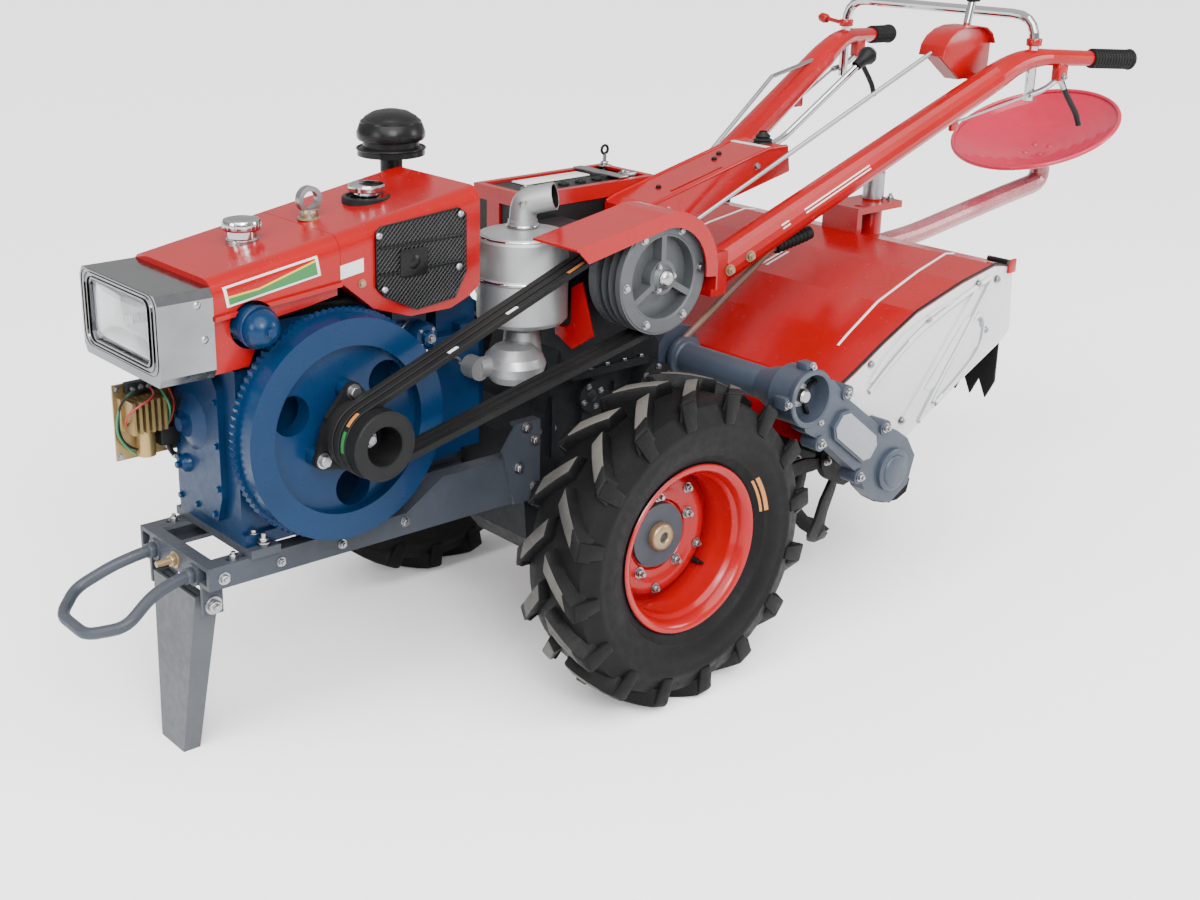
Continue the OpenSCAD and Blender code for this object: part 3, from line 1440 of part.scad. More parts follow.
// Sickle of a tine: shares of the tip radius and angles, along the back and then along the edge
tine_back_shares = [[0.16, 18], [0.3, 10], [0.5, 6], [0.7, 8], [0.86, 14], [0.95, 22]];
tine_edge_shares = [[0.86, 34], [0.76, 21], [0.6, 20], [0.4, 26], [0.24, 34]];
function polar(shares) = [for (s = shares) s[0] * tine_r * [cos(s[1]), sin(s[1])]];
tine_outline = concat(polar(tine_back_shares), polar(tine_edge_shares));
tip_l = 50;
tip_w = 40;
tip_angle = 28;
tip_lean = 32;
tip_at = 0.855 * tine_r;

module tine() {
    translate([0, 0, -tine_t / 2]) linear_extrude(tine_t) polygon(tine_outline);
    rotate([0, 0, tip_angle]) translate([tip_at, 0, 0]) rotate([0, tip_lean, 0])
        translate([-tine_t / 2, -tip_w / 2, -tine_t / 2]) cube([tine_t, tip_w, tip_l]);
}

module rotor() {
    color("dimgray") along_y(-rotor_back, rotor_z) {
        translate([0, 0, -shaft_end]) cylinder(h = 2 * shaft_end, r = rotor_shaft_r);
        for (i = [0:flange_count - 1]) translate([0, 0, flange_place(i)]) rotate([0, 0, 50 * i]) {
            translate([0, 0, -tine_t]) cylinder(h = 2 * tine_t, r = flange_r);
            tine();
            rotate([0, 0, 180]) mirror([0, 0, 1]) tine();
        }
    }
}

sleeve_r = 14;
lever_foot = [-tube_back, box_half + sleeve_r, tube_z + tube_r + 0.8 * lever_r];
lever_run = 254;
lever_climb = 157;
hand_run = 100;
hand_out = 12;
hand_climb = 22;
lever_mid = lever_foot + [-lever_run, 0, lever_climb];
lever_end = lever_mid + [-hand_run, hand_out, hand_climb];

module tiller_lever() {
    color("saddlebrown") {
        bar(bent([lever_foot, lever_mid, lever_end], sleeve_r), lever_r, lever_r);
        bar([lever_mid + 0.1 * (lever_end - lever_mid), lever_end], sleeve_r, sleeve_r);
    }
}

// Seat

seat_tube_r = 25;
seat_steps = 7;
seat_wall = 5;
seat_boss_r = 46;
seat_boss_t = 10;
seat_normal = [sin(seat_tilt), 0, cos(seat_tilt)];
seat_foot = [-seat_back, 0, seat_z] - (seat_d + seat_wall + seat_boss_t) * seat_normal;
stem_run = 160;
stem_climb = 8;
knee_set = 110;
knee_drop = 162;
seat_tube_corners = [[post_x - post_r / 2, 0, beam_z + seat_tube_r],
    [post_x - stem_run, 0, beam_z + seat_tube_r + stem_climb], [knee_set - seat_back, 0,
        seat_z - knee_drop],
    seat_foot - 3 * seat_tube_r * seat_normal, seat_foot];
function seat_bowl(d, r) = [for (i = [0:seat_steps]) let (t = i / seat_steps) [r * t, d * (t * t - 1)]];
seat_outline = concat(seat_bowl(seat_d, seat_r), flip(seat_bowl(seat_d + seat_wall, seat_r)));

module seat_tube() {
    color("firebrick") difference() {
        bar(bent(seat_tube_corners, 2 * seat_tube_r), seat_tube_r, seat_tube_r);
        translate([post_x, 0, post_low]) cylinder(h = post_top - post_low, r = post_r + fit);
    }
}

module seat() {
    color("firebrick") translate([-seat_back, 0, seat_z]) rotate([0, seat_tilt, 0]) {
        rotate_extrude() polygon(seat_outline);
        translate([0, 0, -seat_d - seat_wall - seat_boss_t])
            cylinder(h = seat_boss_t + seat_wall / 2, r = seat_boss_r);
    }
}

// Placing

module placed() {
    translate([axle_x, 0, 0]) children();
}

placed() frame_rails();
placed() engine_bed();
placed() front_bumper();
placed() stand_leg();
placed() engine_block();
placed() cylinder_head();
placed() starter_motor();
placed() fuel_tank();
placed() radiator_hood();
placed() radiator_grille();
placed() filler_caps();
placed() lifting_eye();
placed() headlamp_shell();
placed() headlamp_lens();
placed() air_cleaner();
placed() silencer();
placed() exhaust_pipes();
placed() electrical_panel();
placed() flywheel();
placed() engine_pulley();
placed() clutch_pulley();
placed() drive_belts();
placed() belt_guard();
placed() gearbox();
placed() axle_housings();
placed() battery();
placed() battery_tray();
placed() handle_base();
placed() left_handle();
placed() right_handle();
placed() grips();
placed() hoop();
placed() lever_quadrant();
placed() gear_lever();
placed() steering_levers();
placed() control_rods();
placed() tiller_drive();
placed() chain_case();
placed() tiller_hood();
placed() left_side_plate();
placed() right_side_plate();
placed() rear_flap();
placed() tail_post();
placed() tiller_lever();
placed() seat_tube();
placed() seat();
placed() rotor();
placed() left_tyre();
placed() right_tyre();
placed() left_rim();
placed() right_rim();
placed() left_hub();
placed() right_hub();
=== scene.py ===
import logging
import math
from dataclasses import dataclass
from enum import Enum
from typing import Iterable, Sequence

import bmesh
import bpy
from mathutils import Matrix, Vector


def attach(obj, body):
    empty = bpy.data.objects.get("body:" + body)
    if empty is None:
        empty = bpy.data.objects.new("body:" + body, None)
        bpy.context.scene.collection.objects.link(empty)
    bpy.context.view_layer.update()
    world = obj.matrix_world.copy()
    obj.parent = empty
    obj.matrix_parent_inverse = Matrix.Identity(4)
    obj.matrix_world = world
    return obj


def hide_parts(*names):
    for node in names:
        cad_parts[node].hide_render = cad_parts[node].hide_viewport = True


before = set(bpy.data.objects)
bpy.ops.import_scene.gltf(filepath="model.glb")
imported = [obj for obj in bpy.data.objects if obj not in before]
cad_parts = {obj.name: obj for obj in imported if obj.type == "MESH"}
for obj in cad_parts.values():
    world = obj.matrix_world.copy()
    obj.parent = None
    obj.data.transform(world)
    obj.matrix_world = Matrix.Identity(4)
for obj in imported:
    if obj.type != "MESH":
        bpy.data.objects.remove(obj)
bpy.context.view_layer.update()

LOG = logging.getLogger("tractor")
Pair = tuple[float, float]
Triple = tuple[float, float, float]
Pairs = tuple[Pair, ...]
Triples = tuple[Triple, ...]
Shape = bmesh.types.BMesh
Socket = bpy.types.NodeSocket
MM = 0.001
AXLE_X = 0.3975
LEFT, RIGHT = (0.0, 1.0, 0.0), (0.0, -1.0, 0.0)
FRONT, REAR = (1.0, 0.0, 0.0), (-1.0, 0.0, 0.0)
UP = (0.0, 0.0, 1.0)
HERE = Matrix.Identity(4)
MIRROR = Matrix.Scale(-1.0, 4, LEFT)
TO_ROW = Matrix.Translation((AXLE_X, 0.0, 0.0)) @ Matrix.Scale(MM, 4)
SHARP = math.radians(38.0)

# Noise settings of the finishes: scale, detail and roughness.
PATCHES, FINE = (5.0, 4.0, 0.55), (60.0, 3.0, 0.6)
SPECKS, WORN_AREAS = (140.0, 2.0, 0.5), (9.0, 3.0, 0.6)
CAST_GRAINS, BRUSH_LINES, PEEL = (190.0, 4.0, 0.7), (300.0, 2.0, 0.5), (60.0, 2.0, 0.4)
BRUSH_STRETCH = (1.0, 0.05, 1.0)
RUBBER_CELLS = 420.0
# Values between which a pattern goes from none to all.
TONE_STEP, DUST_STEP, UPWARD_STEP = (0.35, 0.7), (0.3, 0.8), (0.35, 0.95)
SPECK_STEP, WORN_STEP = (0.66, 0.7), (0.5, 0.62)
NOISE_LOW, NOISE_TOP = 0.3, 0.7
DUST_TAN = (0.26, 0.23, 0.19)
COAT_ROUGH = 0.06
MIX_COLOURS, MIX_RESULT = (6, 7), 2


class Body(Enum):
    """Rigid bodies of the machine that pieces ride on."""

    CHASSIS = "chassis"
    LEFT_WHEEL = "left_wheel"
    RIGHT_WHEEL = "right_wheel"
    CRANK = "crank"
    CLUTCH = "clutch"
    ROTOR = "tine_rotor"


class Grain(Enum):
    """Kinds of fine relief on a surface."""

    ORANGE_PEEL = "orange_peel"
    SAND_CAST = "sand_cast"
    MOULDED = "moulded"
    BRUSHED = "brushed"


@dataclass(frozen=True)
class Finish:
    """A procedural surface finish.

    Attributes:
        name: Material name.
        slot: Slot of the record that the finish belongs to.
        colour: Main colour, linear.
        shade: Colour that patches of the surface drift to.
        metallic: Metal share of the shader.
        rough: Lowest and highest roughness.
        coat: Weight of a clear gloss coat.
        grain: Kind of fine relief.
        depth: Height of the relief in metres.
        dust: Strength of the pale dust on faces that look up.
        chips: Strength of worn specks.
        chip_colour: Colour under the worn specks.
        clear: Share of light that passes through.
        shine: Strength of the plain gloss, where one half is that of glass.
    """

    name: str
    slot: str
    colour: Triple
    shade: Triple
    metallic: float = 0.0
    rough: Pair = (0.3, 0.5)
    coat: float = 0.0
    grain: Grain = Grain.ORANGE_PEEL
    depth: float = 0.0003
    dust: float = 0.15
    chips: float = 0.0
    chip_colour: Triple = (0.12, 0.10, 0.09)
    clear: float = 0.0
    shine: float = 0.5

    def build(self) -> bpy.types.Material:
        """Makes the node material once and hands it back.

        Returns:
            The material with this finish's name.
        """
        found = bpy.data.materials.get(self.name)
        if found is not None:
            return found
        mat = bpy.data.materials.new(self.name)
        mat.use_nodes = True
        mat.diffuse_color = (*self.colour, 1.0)
        sheet = NodeSheet(mat)
        patches = sheet.noise(*PATCHES)
        tone = sheet.mix(sheet.ramp(patches, *TONE_STEP), self.colour, self.shade)
        if self.chips > 0.0:
            worn = sheet.times(sheet.ramp(sheet.noise(*SPECKS), *SPECK_STEP),
                               sheet.ramp(sheet.noise(*WORN_AREAS), *WORN_STEP))
            tone = sheet.mix(sheet.times(worn, self.chips), tone, self.chip_colour)
        if self.dust > 0.0:
            settled = sheet.times(sheet.facing_up(), sheet.ramp(patches, *DUST_STEP))
            tone = sheet.mix(sheet.times(settled, self.dust), tone, DUST_TAN)
        sheet.fill(sheet.shader, {
            "Metallic": self.metallic, "Coat Weight": self.coat, "Coat Roughness": COAT_ROUGH,
            "Transmission Weight": self.clear, "Specular IOR Level": self.shine, "Base Color": tone,
            "Roughness": sheet.span(sheet.noise(*FINE), *self.rough),
            "Normal": sheet.bump(self.relief(sheet), self.depth),
        })
        return mat

    def relief(self, sheet: "NodeSheet") -> Socket:
        """Picks the height pattern of this finish's grain.

        Args:
            sheet: Node sheet of the material.

        Returns:
            Socket with the height.
        """
        if self.grain is Grain.SAND_CAST:
            return sheet.noise(*CAST_GRAINS)
        if self.grain is Grain.MOULDED:
            return sheet.cells(RUBBER_CELLS)
        if self.grain is Grain.BRUSHED:
            return sheet.noise(*BRUSH_LINES, BRUSH_STRETCH)
        return sheet.noise(*PEEL)


class NodeSheet:
    """Short words for laying out a material's nodes."""

    def __init__(self, mat: bpy.types.Material) -> None:
        """Opens a material's nodes.

        Args:
            mat: Material whose nodes are laid out.
        """
        self.tree = mat.node_tree
        self.shader = self.tree.nodes["Principled BSDF"]
        self.place = self.tree.nodes.new("ShaderNodeTexCoord").outputs["Object"]

    def fill(self, node: bpy.types.Node, values: dict[str | int, object]) -> bpy.types.Node:
        """Fills inputs of a node.

        Args:
            node: Node to fill.
            values: A socket to link or a plain value to set, for each input.

        Returns:
            The same node.
        """
        for key, value in values.items():
            if isinstance(value, Socket):
                self.tree.links.new(value, node.inputs[key])
            else:
                node.inputs[key].default_value = value
        return node

    def add(self, kind: str, values: dict[str | int, object]) -> bpy.types.Node:
        """Adds a shader node of a kind and fills its inputs."""
        return self.fill(self.tree.nodes.new("ShaderNode" + kind), values)

    def noise(self, scale: float, detail: float, rough: float, stretch: Triple | None = None) -> Socket:
        """Cloudy pattern between 0 and 1 in object space.

        Args:
            scale: Clouds to the metre.
            detail: Layers of finer clouds.
            rough: Weight of the finer clouds.
            stretch: Scale along each axis, where the clouds are drawn out.

        Returns:
            Socket with the pattern.
        """
        spot = self.place
        if stretch is not None:
            spot = self.add("Mapping", {"Scale": stretch, "Vector": spot}).outputs["Vector"]
        values = {"Scale": scale, "Detail": detail, "Roughness": rough, "Vector": spot}
        return self.add("TexNoise", values).outputs["Fac"]

    def cells(self, scale: float) -> Socket:
        """Small rounded cells, as on moulded rubber."""
        return self.add("TexVoronoi", {"Scale": scale, "Vector": self.place}).outputs["Distance"]

    def span(self, value: Socket, low: float, high: float) -> Socket:
        """Maps a middling noise onto the range from low to high."""
        values = {"Value": value, "From Min": NOISE_LOW, "From Max": NOISE_TOP, "To Min": low, "To Max": high}
        return self.add("MapRange", values).outputs["Result"]

    def ramp(self, value: Socket, low: float, high: float) -> Socket:
        """Stretches a value softly so that low becomes 0 and high becomes 1.

        Args:
            value: Value to stretch.
            low: What becomes 0.
            high: What becomes 1.

        Returns:
            Socket with the stretched value.
        """
        node = self.add("MapRange", {"Value": value, "From Min": low, "From Max": high})
        node.interpolation_type = "SMOOTHSTEP"
        return node.outputs["Result"]

    def times(self, a: Socket, b: Socket | float) -> Socket:
        """Product of a value and another value or a number.

        Args:
            a: Value.
            b: Other value or number.

        Returns:
            Socket with the product.
        """
        node = self.add("Math", {0: a, 1: b})
        node.operation = "MULTIPLY"
        return node.outputs[0]

    def mix(self, share: Socket, a: Socket | Triple, b: Socket | Triple) -> Socket:
        """Mixes two colours by a share.

        Args:
            share: Share of the second colour.
            a: First colour or its socket.
            b: Second colour or its socket.

        Returns:
            Socket with the mixed colour.
        """
        node = self.add("Mix", {"Factor": share})
        node.data_type = "RGBA"
        colours = [value if isinstance(value, Socket) else (*value, 1.0) for value in (a, b)]
        self.fill(node, dict(zip(MIX_COLOURS, colours)))
        return node.outputs[MIX_RESULT]

    def facing_up(self) -> Socket:
        """One on faces that look up and zero on walls."""
        normal = self.tree.nodes.new("ShaderNodeNewGeometry").outputs["Normal"]
        return self.ramp(self.add("SeparateXYZ", {0: normal}).outputs["Z"], *UPWARD_STEP)

    def bump(self, height: Socket, depth: float) -> Socket:
        """Turns a height into a normal."""
        values = {"Strength": 1.0, "Distance": depth, "Height": height}
        return self.add("Bump", values).outputs["Normal"]


RED_PAINT = Finish(
    "red_gloss_paint", "red_paint", (0.24, 0.0008, 0.0022), (0.218, 0.0006, 0.0018), rough=(0.18, 0.28),
    coat=0.06, depth=0.00003, dust=0.0, shine=0.25)
SEAT_RED = Finish(
    "red_seat_paint", "red_paint", (0.36, 0.007, 0.034), (0.31, 0.004, 0.024), rough=(0.12, 0.22),
    coat=0.15, depth=0.0001, dust=0.0, shine=0.3)
TUBE_FILM = Finish(
    "red_tube_film", "red_paint", (0.30, 0.085, 0.10), (0.20, 0.02, 0.03), metallic=0.25, rough=(0.1, 0.35),
    coat=0.4, grain=Grain.SAND_CAST, depth=0.0012, dust=0.0)
ENGINE_BLUE = Finish(
    "engine_blue_paint", "engine_cast", (0.00072, 0.0144, 0.04608), (0.000576, 0.0108, 0.036),
    rough=(0.3, 0.44), coat=0.05, grain=Grain.SAND_CAST, depth=0.0003, dust=0.02, shine=0.16)
ENGINE_SHEET = Finish(
    "engine_blue_sheet", "engine_paint", (0.00072, 0.01584, 0.0504), (0.000576, 0.01296, 0.0432),
    rough=(0.26, 0.36), coat=0.05, depth=0.00005, dust=0.0, shine=0.14)
FRAME_SLATE = Finish(
    "frame_slate_paint", "frame_paint", (0.032, 0.037, 0.047), (0.02, 0.024, 0.031), rough=(0.38, 0.55),
    depth=0.0003, dust=0.06, chips=0.35, shine=0.25)
LEG_GREY = Finish(
    "leg_grey_paint", "leg_steel", (0.0432, 0.04824, 0.05472), (0.0324, 0.03672, 0.04176),
    rough=(0.4, 0.55), chips=0.25, shine=0.4)
BLACK_PAINT = Finish(
    "black_satin_paint", "black_paint", (0.004, 0.004, 0.0045), (0.006, 0.006, 0.0065), rough=(0.25, 0.4),
    coat=0.03, dust=0.015, shine=0.14)
CHROME = Finish(
    "bright_chrome", "bright", (0.52, 0.52, 0.53), (0.45, 0.45, 0.46), metallic=1.0, rough=(0.06, 0.14),
    dust=0.0, depth=0.00004)
SHELL_STEEL = Finish(
    "bright_lamp_shell", "bright", (0.215, 0.2193, 0.2279), (0.1548, 0.1591, 0.1677), metallic=1.0,
    rough=(0.1, 0.22), dust=0.0, depth=0.0001)
PLAIN_STEEL = Finish(
    "plain_steel_rod", "plain_steel", (0.32, 0.32, 0.33), (0.24, 0.24, 0.25), metallic=1.0,
    rough=(0.28, 0.42), grain=Grain.BRUSHED, depth=0.00008, dust=0.0)
SILVER_HEAT = Finish(
    "silver_heat_paint", "silver_paint", (0.30, 0.305, 0.31), (0.22, 0.222, 0.228), metallic=0.7,
    rough=(0.34, 0.48), depth=0.0003, dust=0.02)
YELLOW_ZINC = Finish(
    "yellow_zinc_plate", "yellow_zinc", (0.34, 0.23, 0.08), (0.26, 0.19, 0.09), metallic=0.8,
    rough=(0.3, 0.45), depth=0.0001, dust=0.0)
BLACK_CAST = Finish(
    "black_cast_pulley", "black_cast", (0.004, 0.004, 0.0045), (0.007, 0.007, 0.0075), rough=(0.34, 0.5),
    grain=Grain.SAND_CAST, depth=0.0003, dust=0.015, shine=0.14)
GREY_CAST = Finish(
    "grey_cast_iron", "grey_cast", (0.05184, 0.05616, 0.06048), (0.03744, 0.04032, 0.04392), metallic=0.25,
    rough=(0.4, 0.55), grain=Grain.SAND_CAST, depth=0.0004, dust=0.05)
DARK_CAST = Finish(
    "dark_cast_box", "dark_cast", (0.00864, 0.00972, 0.01152), (0.00576, 0.00648, 0.00792),
    rough=(0.42, 0.58), grain=Grain.SAND_CAST, depth=0.0006, dust=0.015, shine=0.14)
SLATE_CAST = Finish(
    "slate_cast_case", "slate_cast", (0.0288, 0.03744, 0.05328), (0.02016, 0.02664, 0.03888),
    rough=(0.34, 0.5), coat=0.04, grain=Grain.SAND_CAST, depth=0.0004, dust=0.03, shine=0.3)
BELT_RUBBER = Finish(
    "belt_black_rubber", "belt_rubber", (0.00432, 0.00432, 0.00468), (0.0072, 0.0072, 0.0072),
    rough=(0.5, 0.68), grain=Grain.MOULDED, depth=0.0003, dust=0.015, shine=0.14)
TYRE_RUBBER = Finish(
    "tyre_black_rubber", "tyre_rubber", (0.00252, 0.00252, 0.00288), (0.00432, 0.00432, 0.004608),
    rough=(0.42, 0.6), grain=Grain.MOULDED, depth=0.0004, dust=0.01, shine=0.1)
GRIP_RUBBER = Finish(
    "grip_black_rubber", "grip_rubber", (0.004, 0.004, 0.0045), (0.007, 0.007, 0.0075), rough=(0.45, 0.6),
    grain=Grain.MOULDED, depth=0.0004, dust=0.015, shine=0.14)
FLAP_RUBBER = Finish(
    "flap_rubber", "black_rubber", (0.003, 0.003, 0.0035), (0.006, 0.006, 0.006), rough=(0.5, 0.7),
    grain=Grain.MOULDED, depth=0.0005, dust=0.015, shine=0.14)
BLACK_PLASTIC = Finish(
    "black_satin_plastic", "black_plastic", (0.005, 0.005, 0.0055), (0.008, 0.008, 0.0085),
    rough=(0.35, 0.5), grain=Grain.MOULDED, depth=0.0002, dust=0.015, shine=0.14)
WHITE_PAINT = Finish(
    "white_gloss_paint", "white_paint", (0.4472, 0.4472, 0.4558), (0.3956, 0.3956, 0.4042),
    rough=(0.24, 0.36), coat=0.3, depth=0.00015, dust=0.0)
BROWN_PAINT = Finish(
    "brown_lever_paint", "brown_paint", (0.085, 0.036, 0.02), (0.055, 0.024, 0.014), rough=(0.4, 0.55),
    chips=0.3)
TINE_STEEL = Finish(
    "black_tine_steel", "tine_steel", (0.005, 0.005, 0.0055), (0.010, 0.010, 0.010), metallic=0.3,
    rough=(0.38, 0.55), grain=Grain.SAND_CAST, depth=0.0004, chips=0.15, dust=0.015, shine=0.14)
LUG_RUBBER = Finish(
    "lug_rubber", "tyre_rubber", (0.058, 0.052, 0.045), (0.018, 0.017, 0.015), rough=(0.55, 0.8),
    grain=Grain.MOULDED, depth=0.0005, dust=0.1)
TAN_ZINC = Finish(
    "tan_zinc_plate", "yellow_zinc", (0.27, 0.19, 0.10), (0.20, 0.15, 0.09), metallic=0.6,
    rough=(0.3, 0.45), depth=0.0001, dust=0.0)
SCREEN_WIRE = Finish(
    "screen_wire", "black_paint", (0.016, 0.016, 0.017), (0.024, 0.024, 0.024), metallic=0.4,
    rough=(0.35, 0.5), depth=0.0001, dust=0.0)
MARK_WHITE = Finish(
    "mark_white", "white_paint", (0.55, 0.55, 0.54), (0.48, 0.48, 0.47), rough=(0.3, 0.4), depth=0.0001,
    dust=0.0)
MARK_GREEN = Finish(
    "mark_green", "white_paint", (0.008, 0.12, 0.022), (0.008, 0.10, 0.02), rough=(0.3, 0.4), depth=0.0001,
    dust=0.0)
MARK_YELLOW = Finish(
    "mark_yellow", "white_paint", (0.50, 0.29, 0.01), (0.44, 0.25, 0.01), rough=(0.3, 0.4), depth=0.0001,
    dust=0.0)
MARK_ORANGE = Finish(
    "mark_orange", "white_paint", (0.34, 0.12, 0.015), (0.28, 0.10, 0.015), rough=(0.4, 0.55), depth=0.0001,
    dust=0.0)
LAMP_GLASS = Finish(
    "lamp_glass", "lens", (0.93, 0.94, 0.95), (0.88, 0.90, 0.92), rough=(0.02, 0.06), depth=0.00005,
    dust=0.0, clear=0.95)
LAMP_BULB = Finish(
    "lamp_bulb", "lens", (0.70, 0.69, 0.66), (0.65, 0.63, 0.60), rough=(0.05, 0.1), depth=0.00005,
    clear=0.5)
WIRE_RED = Finish(
    "wire_red", "black_plastic", (0.26, 0.006, 0.006), (0.21, 0.005, 0.005), rough=(0.3, 0.45),
    depth=0.0001)
WIRE_GREEN = Finish(
    "wire_green", "black_plastic", (0.006, 0.11, 0.05), (0.005, 0.09, 0.04), rough=(0.3, 0.45),
    depth=0.0001)
# Pale grey for the chain case's plate, and for the painted shade beside the side plates' ribs.
PALE_PLATE_AND_SHADE = Finish(
    "pale_plate_and_rib_shade", "slate_cast", (0.172, 0.1849, 0.2021), (0.1419, 0.1548, 0.172), rough=(0.35, 0.5),
    depth=0.0002)

FINISHED_NODES: tuple[tuple[Finish, str], ...] = (
    (FRAME_SLATE, "frame_rails engine_bed front_bumper left_hub right_hub"),
    (LEG_GREY, "stand_leg"),
    (ENGINE_BLUE, "engine_block cylinder_head"),
    (ENGINE_SHEET, "starter_motor flywheel"),
    (RED_PAINT, "fuel_tank radiator_hood belt_guard battery_tray handle_base left_handle right_handle "
                "lever_quadrant tiller_hood tail_post left_rim right_rim"),
    (BLACK_PAINT, "radiator_grille air_cleaner"),
    (CHROME, "filler_caps hoop gear_lever"),
    (PLAIN_STEEL, "lifting_eye steering_levers control_rods"),
    (SHELL_STEEL, "headlamp_shell"),
    (SILVER_HEAT, "silencer exhaust_pipes"),
    (YELLOW_ZINC, "electrical_panel"),
    (BLACK_CAST, "engine_pulley"),
    (GREY_CAST, "clutch_pulley"),
    (BELT_RUBBER, "drive_belts"),
    (DARK_CAST, "gearbox axle_housings"),
    (BLACK_PLASTIC, "battery"),
    (GRIP_RUBBER, "grips"),
    (SLATE_CAST, "tiller_drive chain_case"),
    (WHITE_PAINT, "left_side_plate right_side_plate"),
    (FLAP_RUBBER, "rear_flap"),
    (BROWN_PAINT, "tiller_lever"),
    (TUBE_FILM, "seat_tube"),
    (SEAT_RED, "seat"),
    (TINE_STEEL, "rotor"),
    (TYRE_RUBBER, "left_tyre right_tyre"),
    (LAMP_GLASS, "headlamp_lens"),
)


def dress_frame() -> None:
    """Gives every CAD node its finish."""
    for finish, names in FINISHED_NODES:
        for name in names.split():
            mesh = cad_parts[name].data
            mesh.materials.clear()
            mesh.materials.append(finish.build())


def at(x: float, y: float, z: float) -> Vector:
    """A point in the row frame from millimetres measured about the wheel axle."""
    return Vector((AXLE_X + x * MM, y * MM, z * MM))


def shift(x: float, y: float, z: float) -> Matrix:
    """Place that is moved without a turn."""
    return Matrix.Translation((x, y, z))


def spin(turn: float) -> Matrix:
    """Turn about the upright axis, in degrees."""
    return Matrix.Rotation(math.radians(turn), 4, "Z")


# Places are in millimetres: x forward of the wheel axle, y to the left and z above the ground.
def stand(x: float, y: float, z: float, axis: Triple = UP, turn: float = 0.0) -> Matrix:
    """Place of an upright shape, with its axis turned to a direction and spun by degrees."""
    aim = Vector(axis).to_track_quat("Z", "Y").to_matrix().to_4x4()
    return shift(x, y, z) @ aim @ spin(turn)


def spots(points: Sequence[Pair], y: float, axis: Triple = LEFT) -> list[Matrix]:
    """Places on an upright wall along the machine, from points in x and z."""
    return [stand(x, y, z, axis) for x, z in points]


def ring(place: Matrix, count: int, radius: float, height: float = 0.0, start: float = 0.0) -> list[Matrix]:
    """Places evenly spaced in a circle about a place's upright axis, from a first angle in degrees."""
    return [place @ spin(start + 360.0 * i / count) @ shift(radius, 0.0, height) for i in range(count)]


def on_side(y: float) -> Matrix:
    """Place of a flat cut in x and z, whose thickness goes to the right."""
    return Matrix(((1, 0, 0, 0), (0, 0, -1, y), (0, 1, 0, 0), (0, 0, 0, 1)))


def both(*places: Matrix) -> list[Matrix]:
    """Places on the left side, each followed by its mirror on the right."""
    return [side @ place for place in places for side in (HERE, MIRROR)]


def turned(profile: Sequence[Pair], steps: int = 40, closed: bool = False, sweep: float = 360.0,
           wall: float = 0.0) -> Shape:
    """Spins a profile of radius and height about the upright axis.

    Args:
        profile: Points of the profile.
        steps: Steps of the spin.
        closed: Whether the profile ends where it begins.
        sweep: Angle of the spin, in degrees.
        wall: Thickness given to an open profile.

    Returns:
        The spun shape.
    """
    bm = bmesh.new()
    row = [bm.verts.new((r, 0.0, h)) for r, h in profile]
    for a, b in zip(row, row[1:] + row[:1] if closed else row[1:]):
        bm.edges.new((a, b))
    bmesh.ops.spin(bm, geom=bm.verts[:] + bm.edges[:], cent=(0, 0, 0), axis=UP,
                   angle=math.radians(sweep), steps=steps, use_merge=sweep == 360.0)
    bmesh.ops.remove_doubles(bm, verts=bm.verts[:], dist=0.001)
    bmesh.ops.recalc_face_normals(bm, faces=bm.faces[:])
    if wall:
        bmesh.ops.solidify(bm, geom=bm.faces[:], thickness=wall)
    return bm


def drum(radius: float, height: float, edge: float = 1.0, steps: int = 32) -> Shape:
    """Round disc or post with softened edges."""
    return turned([(0, 0), (radius - edge, 0), (radius, edge), (radius, height - edge),
                   (radius - edge, height), (0, height)], steps)


def hoop(radius: float, thick: float, steps: int = 40, sides: int = 10) -> Shape:
    """Round ring of round section, where thick is the radius of the section."""
    corners = [math.tau * i / sides for i in range(sides)]
    return turned([(radius + thick * math.cos(a), thick * math.sin(a)) for a in corners], steps, closed=True)


def soften(bm: Shape, edge: float, segments: int = 2, over: float = 25.0) -> None:
    """Rounds the edges of a shape that turn by more than an angle.

    Args:
        bm: Shape to round.
        edge: Width of the rounding.
        segments: Facets of the rounding.
        over: Least angle between the faces, in degrees.
    """
    sharp = [e for e in bm.edges if e.is_manifold and e.calc_face_angle() > math.radians(over)]
    bmesh.ops.bevel(bm, geom=sharp, offset=edge, offset_type="OFFSET", segments=segments, profile=0.5,
                    affect="EDGES", material=-1, clamp_overlap=True)


def block(size: Triple, edge: float = 1.5) -> Shape:
    """Block about the origin with rounded edges.

    Args:
        size: Length along x, y and z.
        edge: Rounding of its edges.

    Returns:
        The block.
    """
    bm = bmesh.new()
    bmesh.ops.create_cube(bm, size=1.0, matrix=Matrix.Diagonal((*size, 1.0)))
    soften(bm, edge)
    return bm


def bolt(size: float, tail: float = 0.0) -> Shape:
    """Hexagon head on a washer.

    Args:
        size: Radius of the head to its corners.
        tail: Length of thread that stands out of the head.

    Returns:
        The bolt, standing on its washer.
    """
    bm = turned([(0, 0), (1.3 * size, 0), (1.3 * size, 0.2 * size), (0, 0.2 * size)], 20)
    head = bmesh.ops.create_cone(bm, cap_ends=True, segments=6, radius1=size, radius2=size, depth=0.8 * size,
                                 matrix=shift(0, 0, 0.6 * size))
    rims = {e for v in head["verts"] for e in v.link_edges}
    bmesh.ops.bevel(bm, geom=list(rims), offset=0.1 * size, offset_type="OFFSET", segments=1, profile=0.5,
                    affect="EDGES", material=-1)
    if tail:
        bmesh.ops.create_cone(bm, cap_ends=True, segments=12, radius1=0.55 * size, radius2=0.48 * size,
                              depth=tail, matrix=shift(0, 0, size + tail / 2))
    return bm


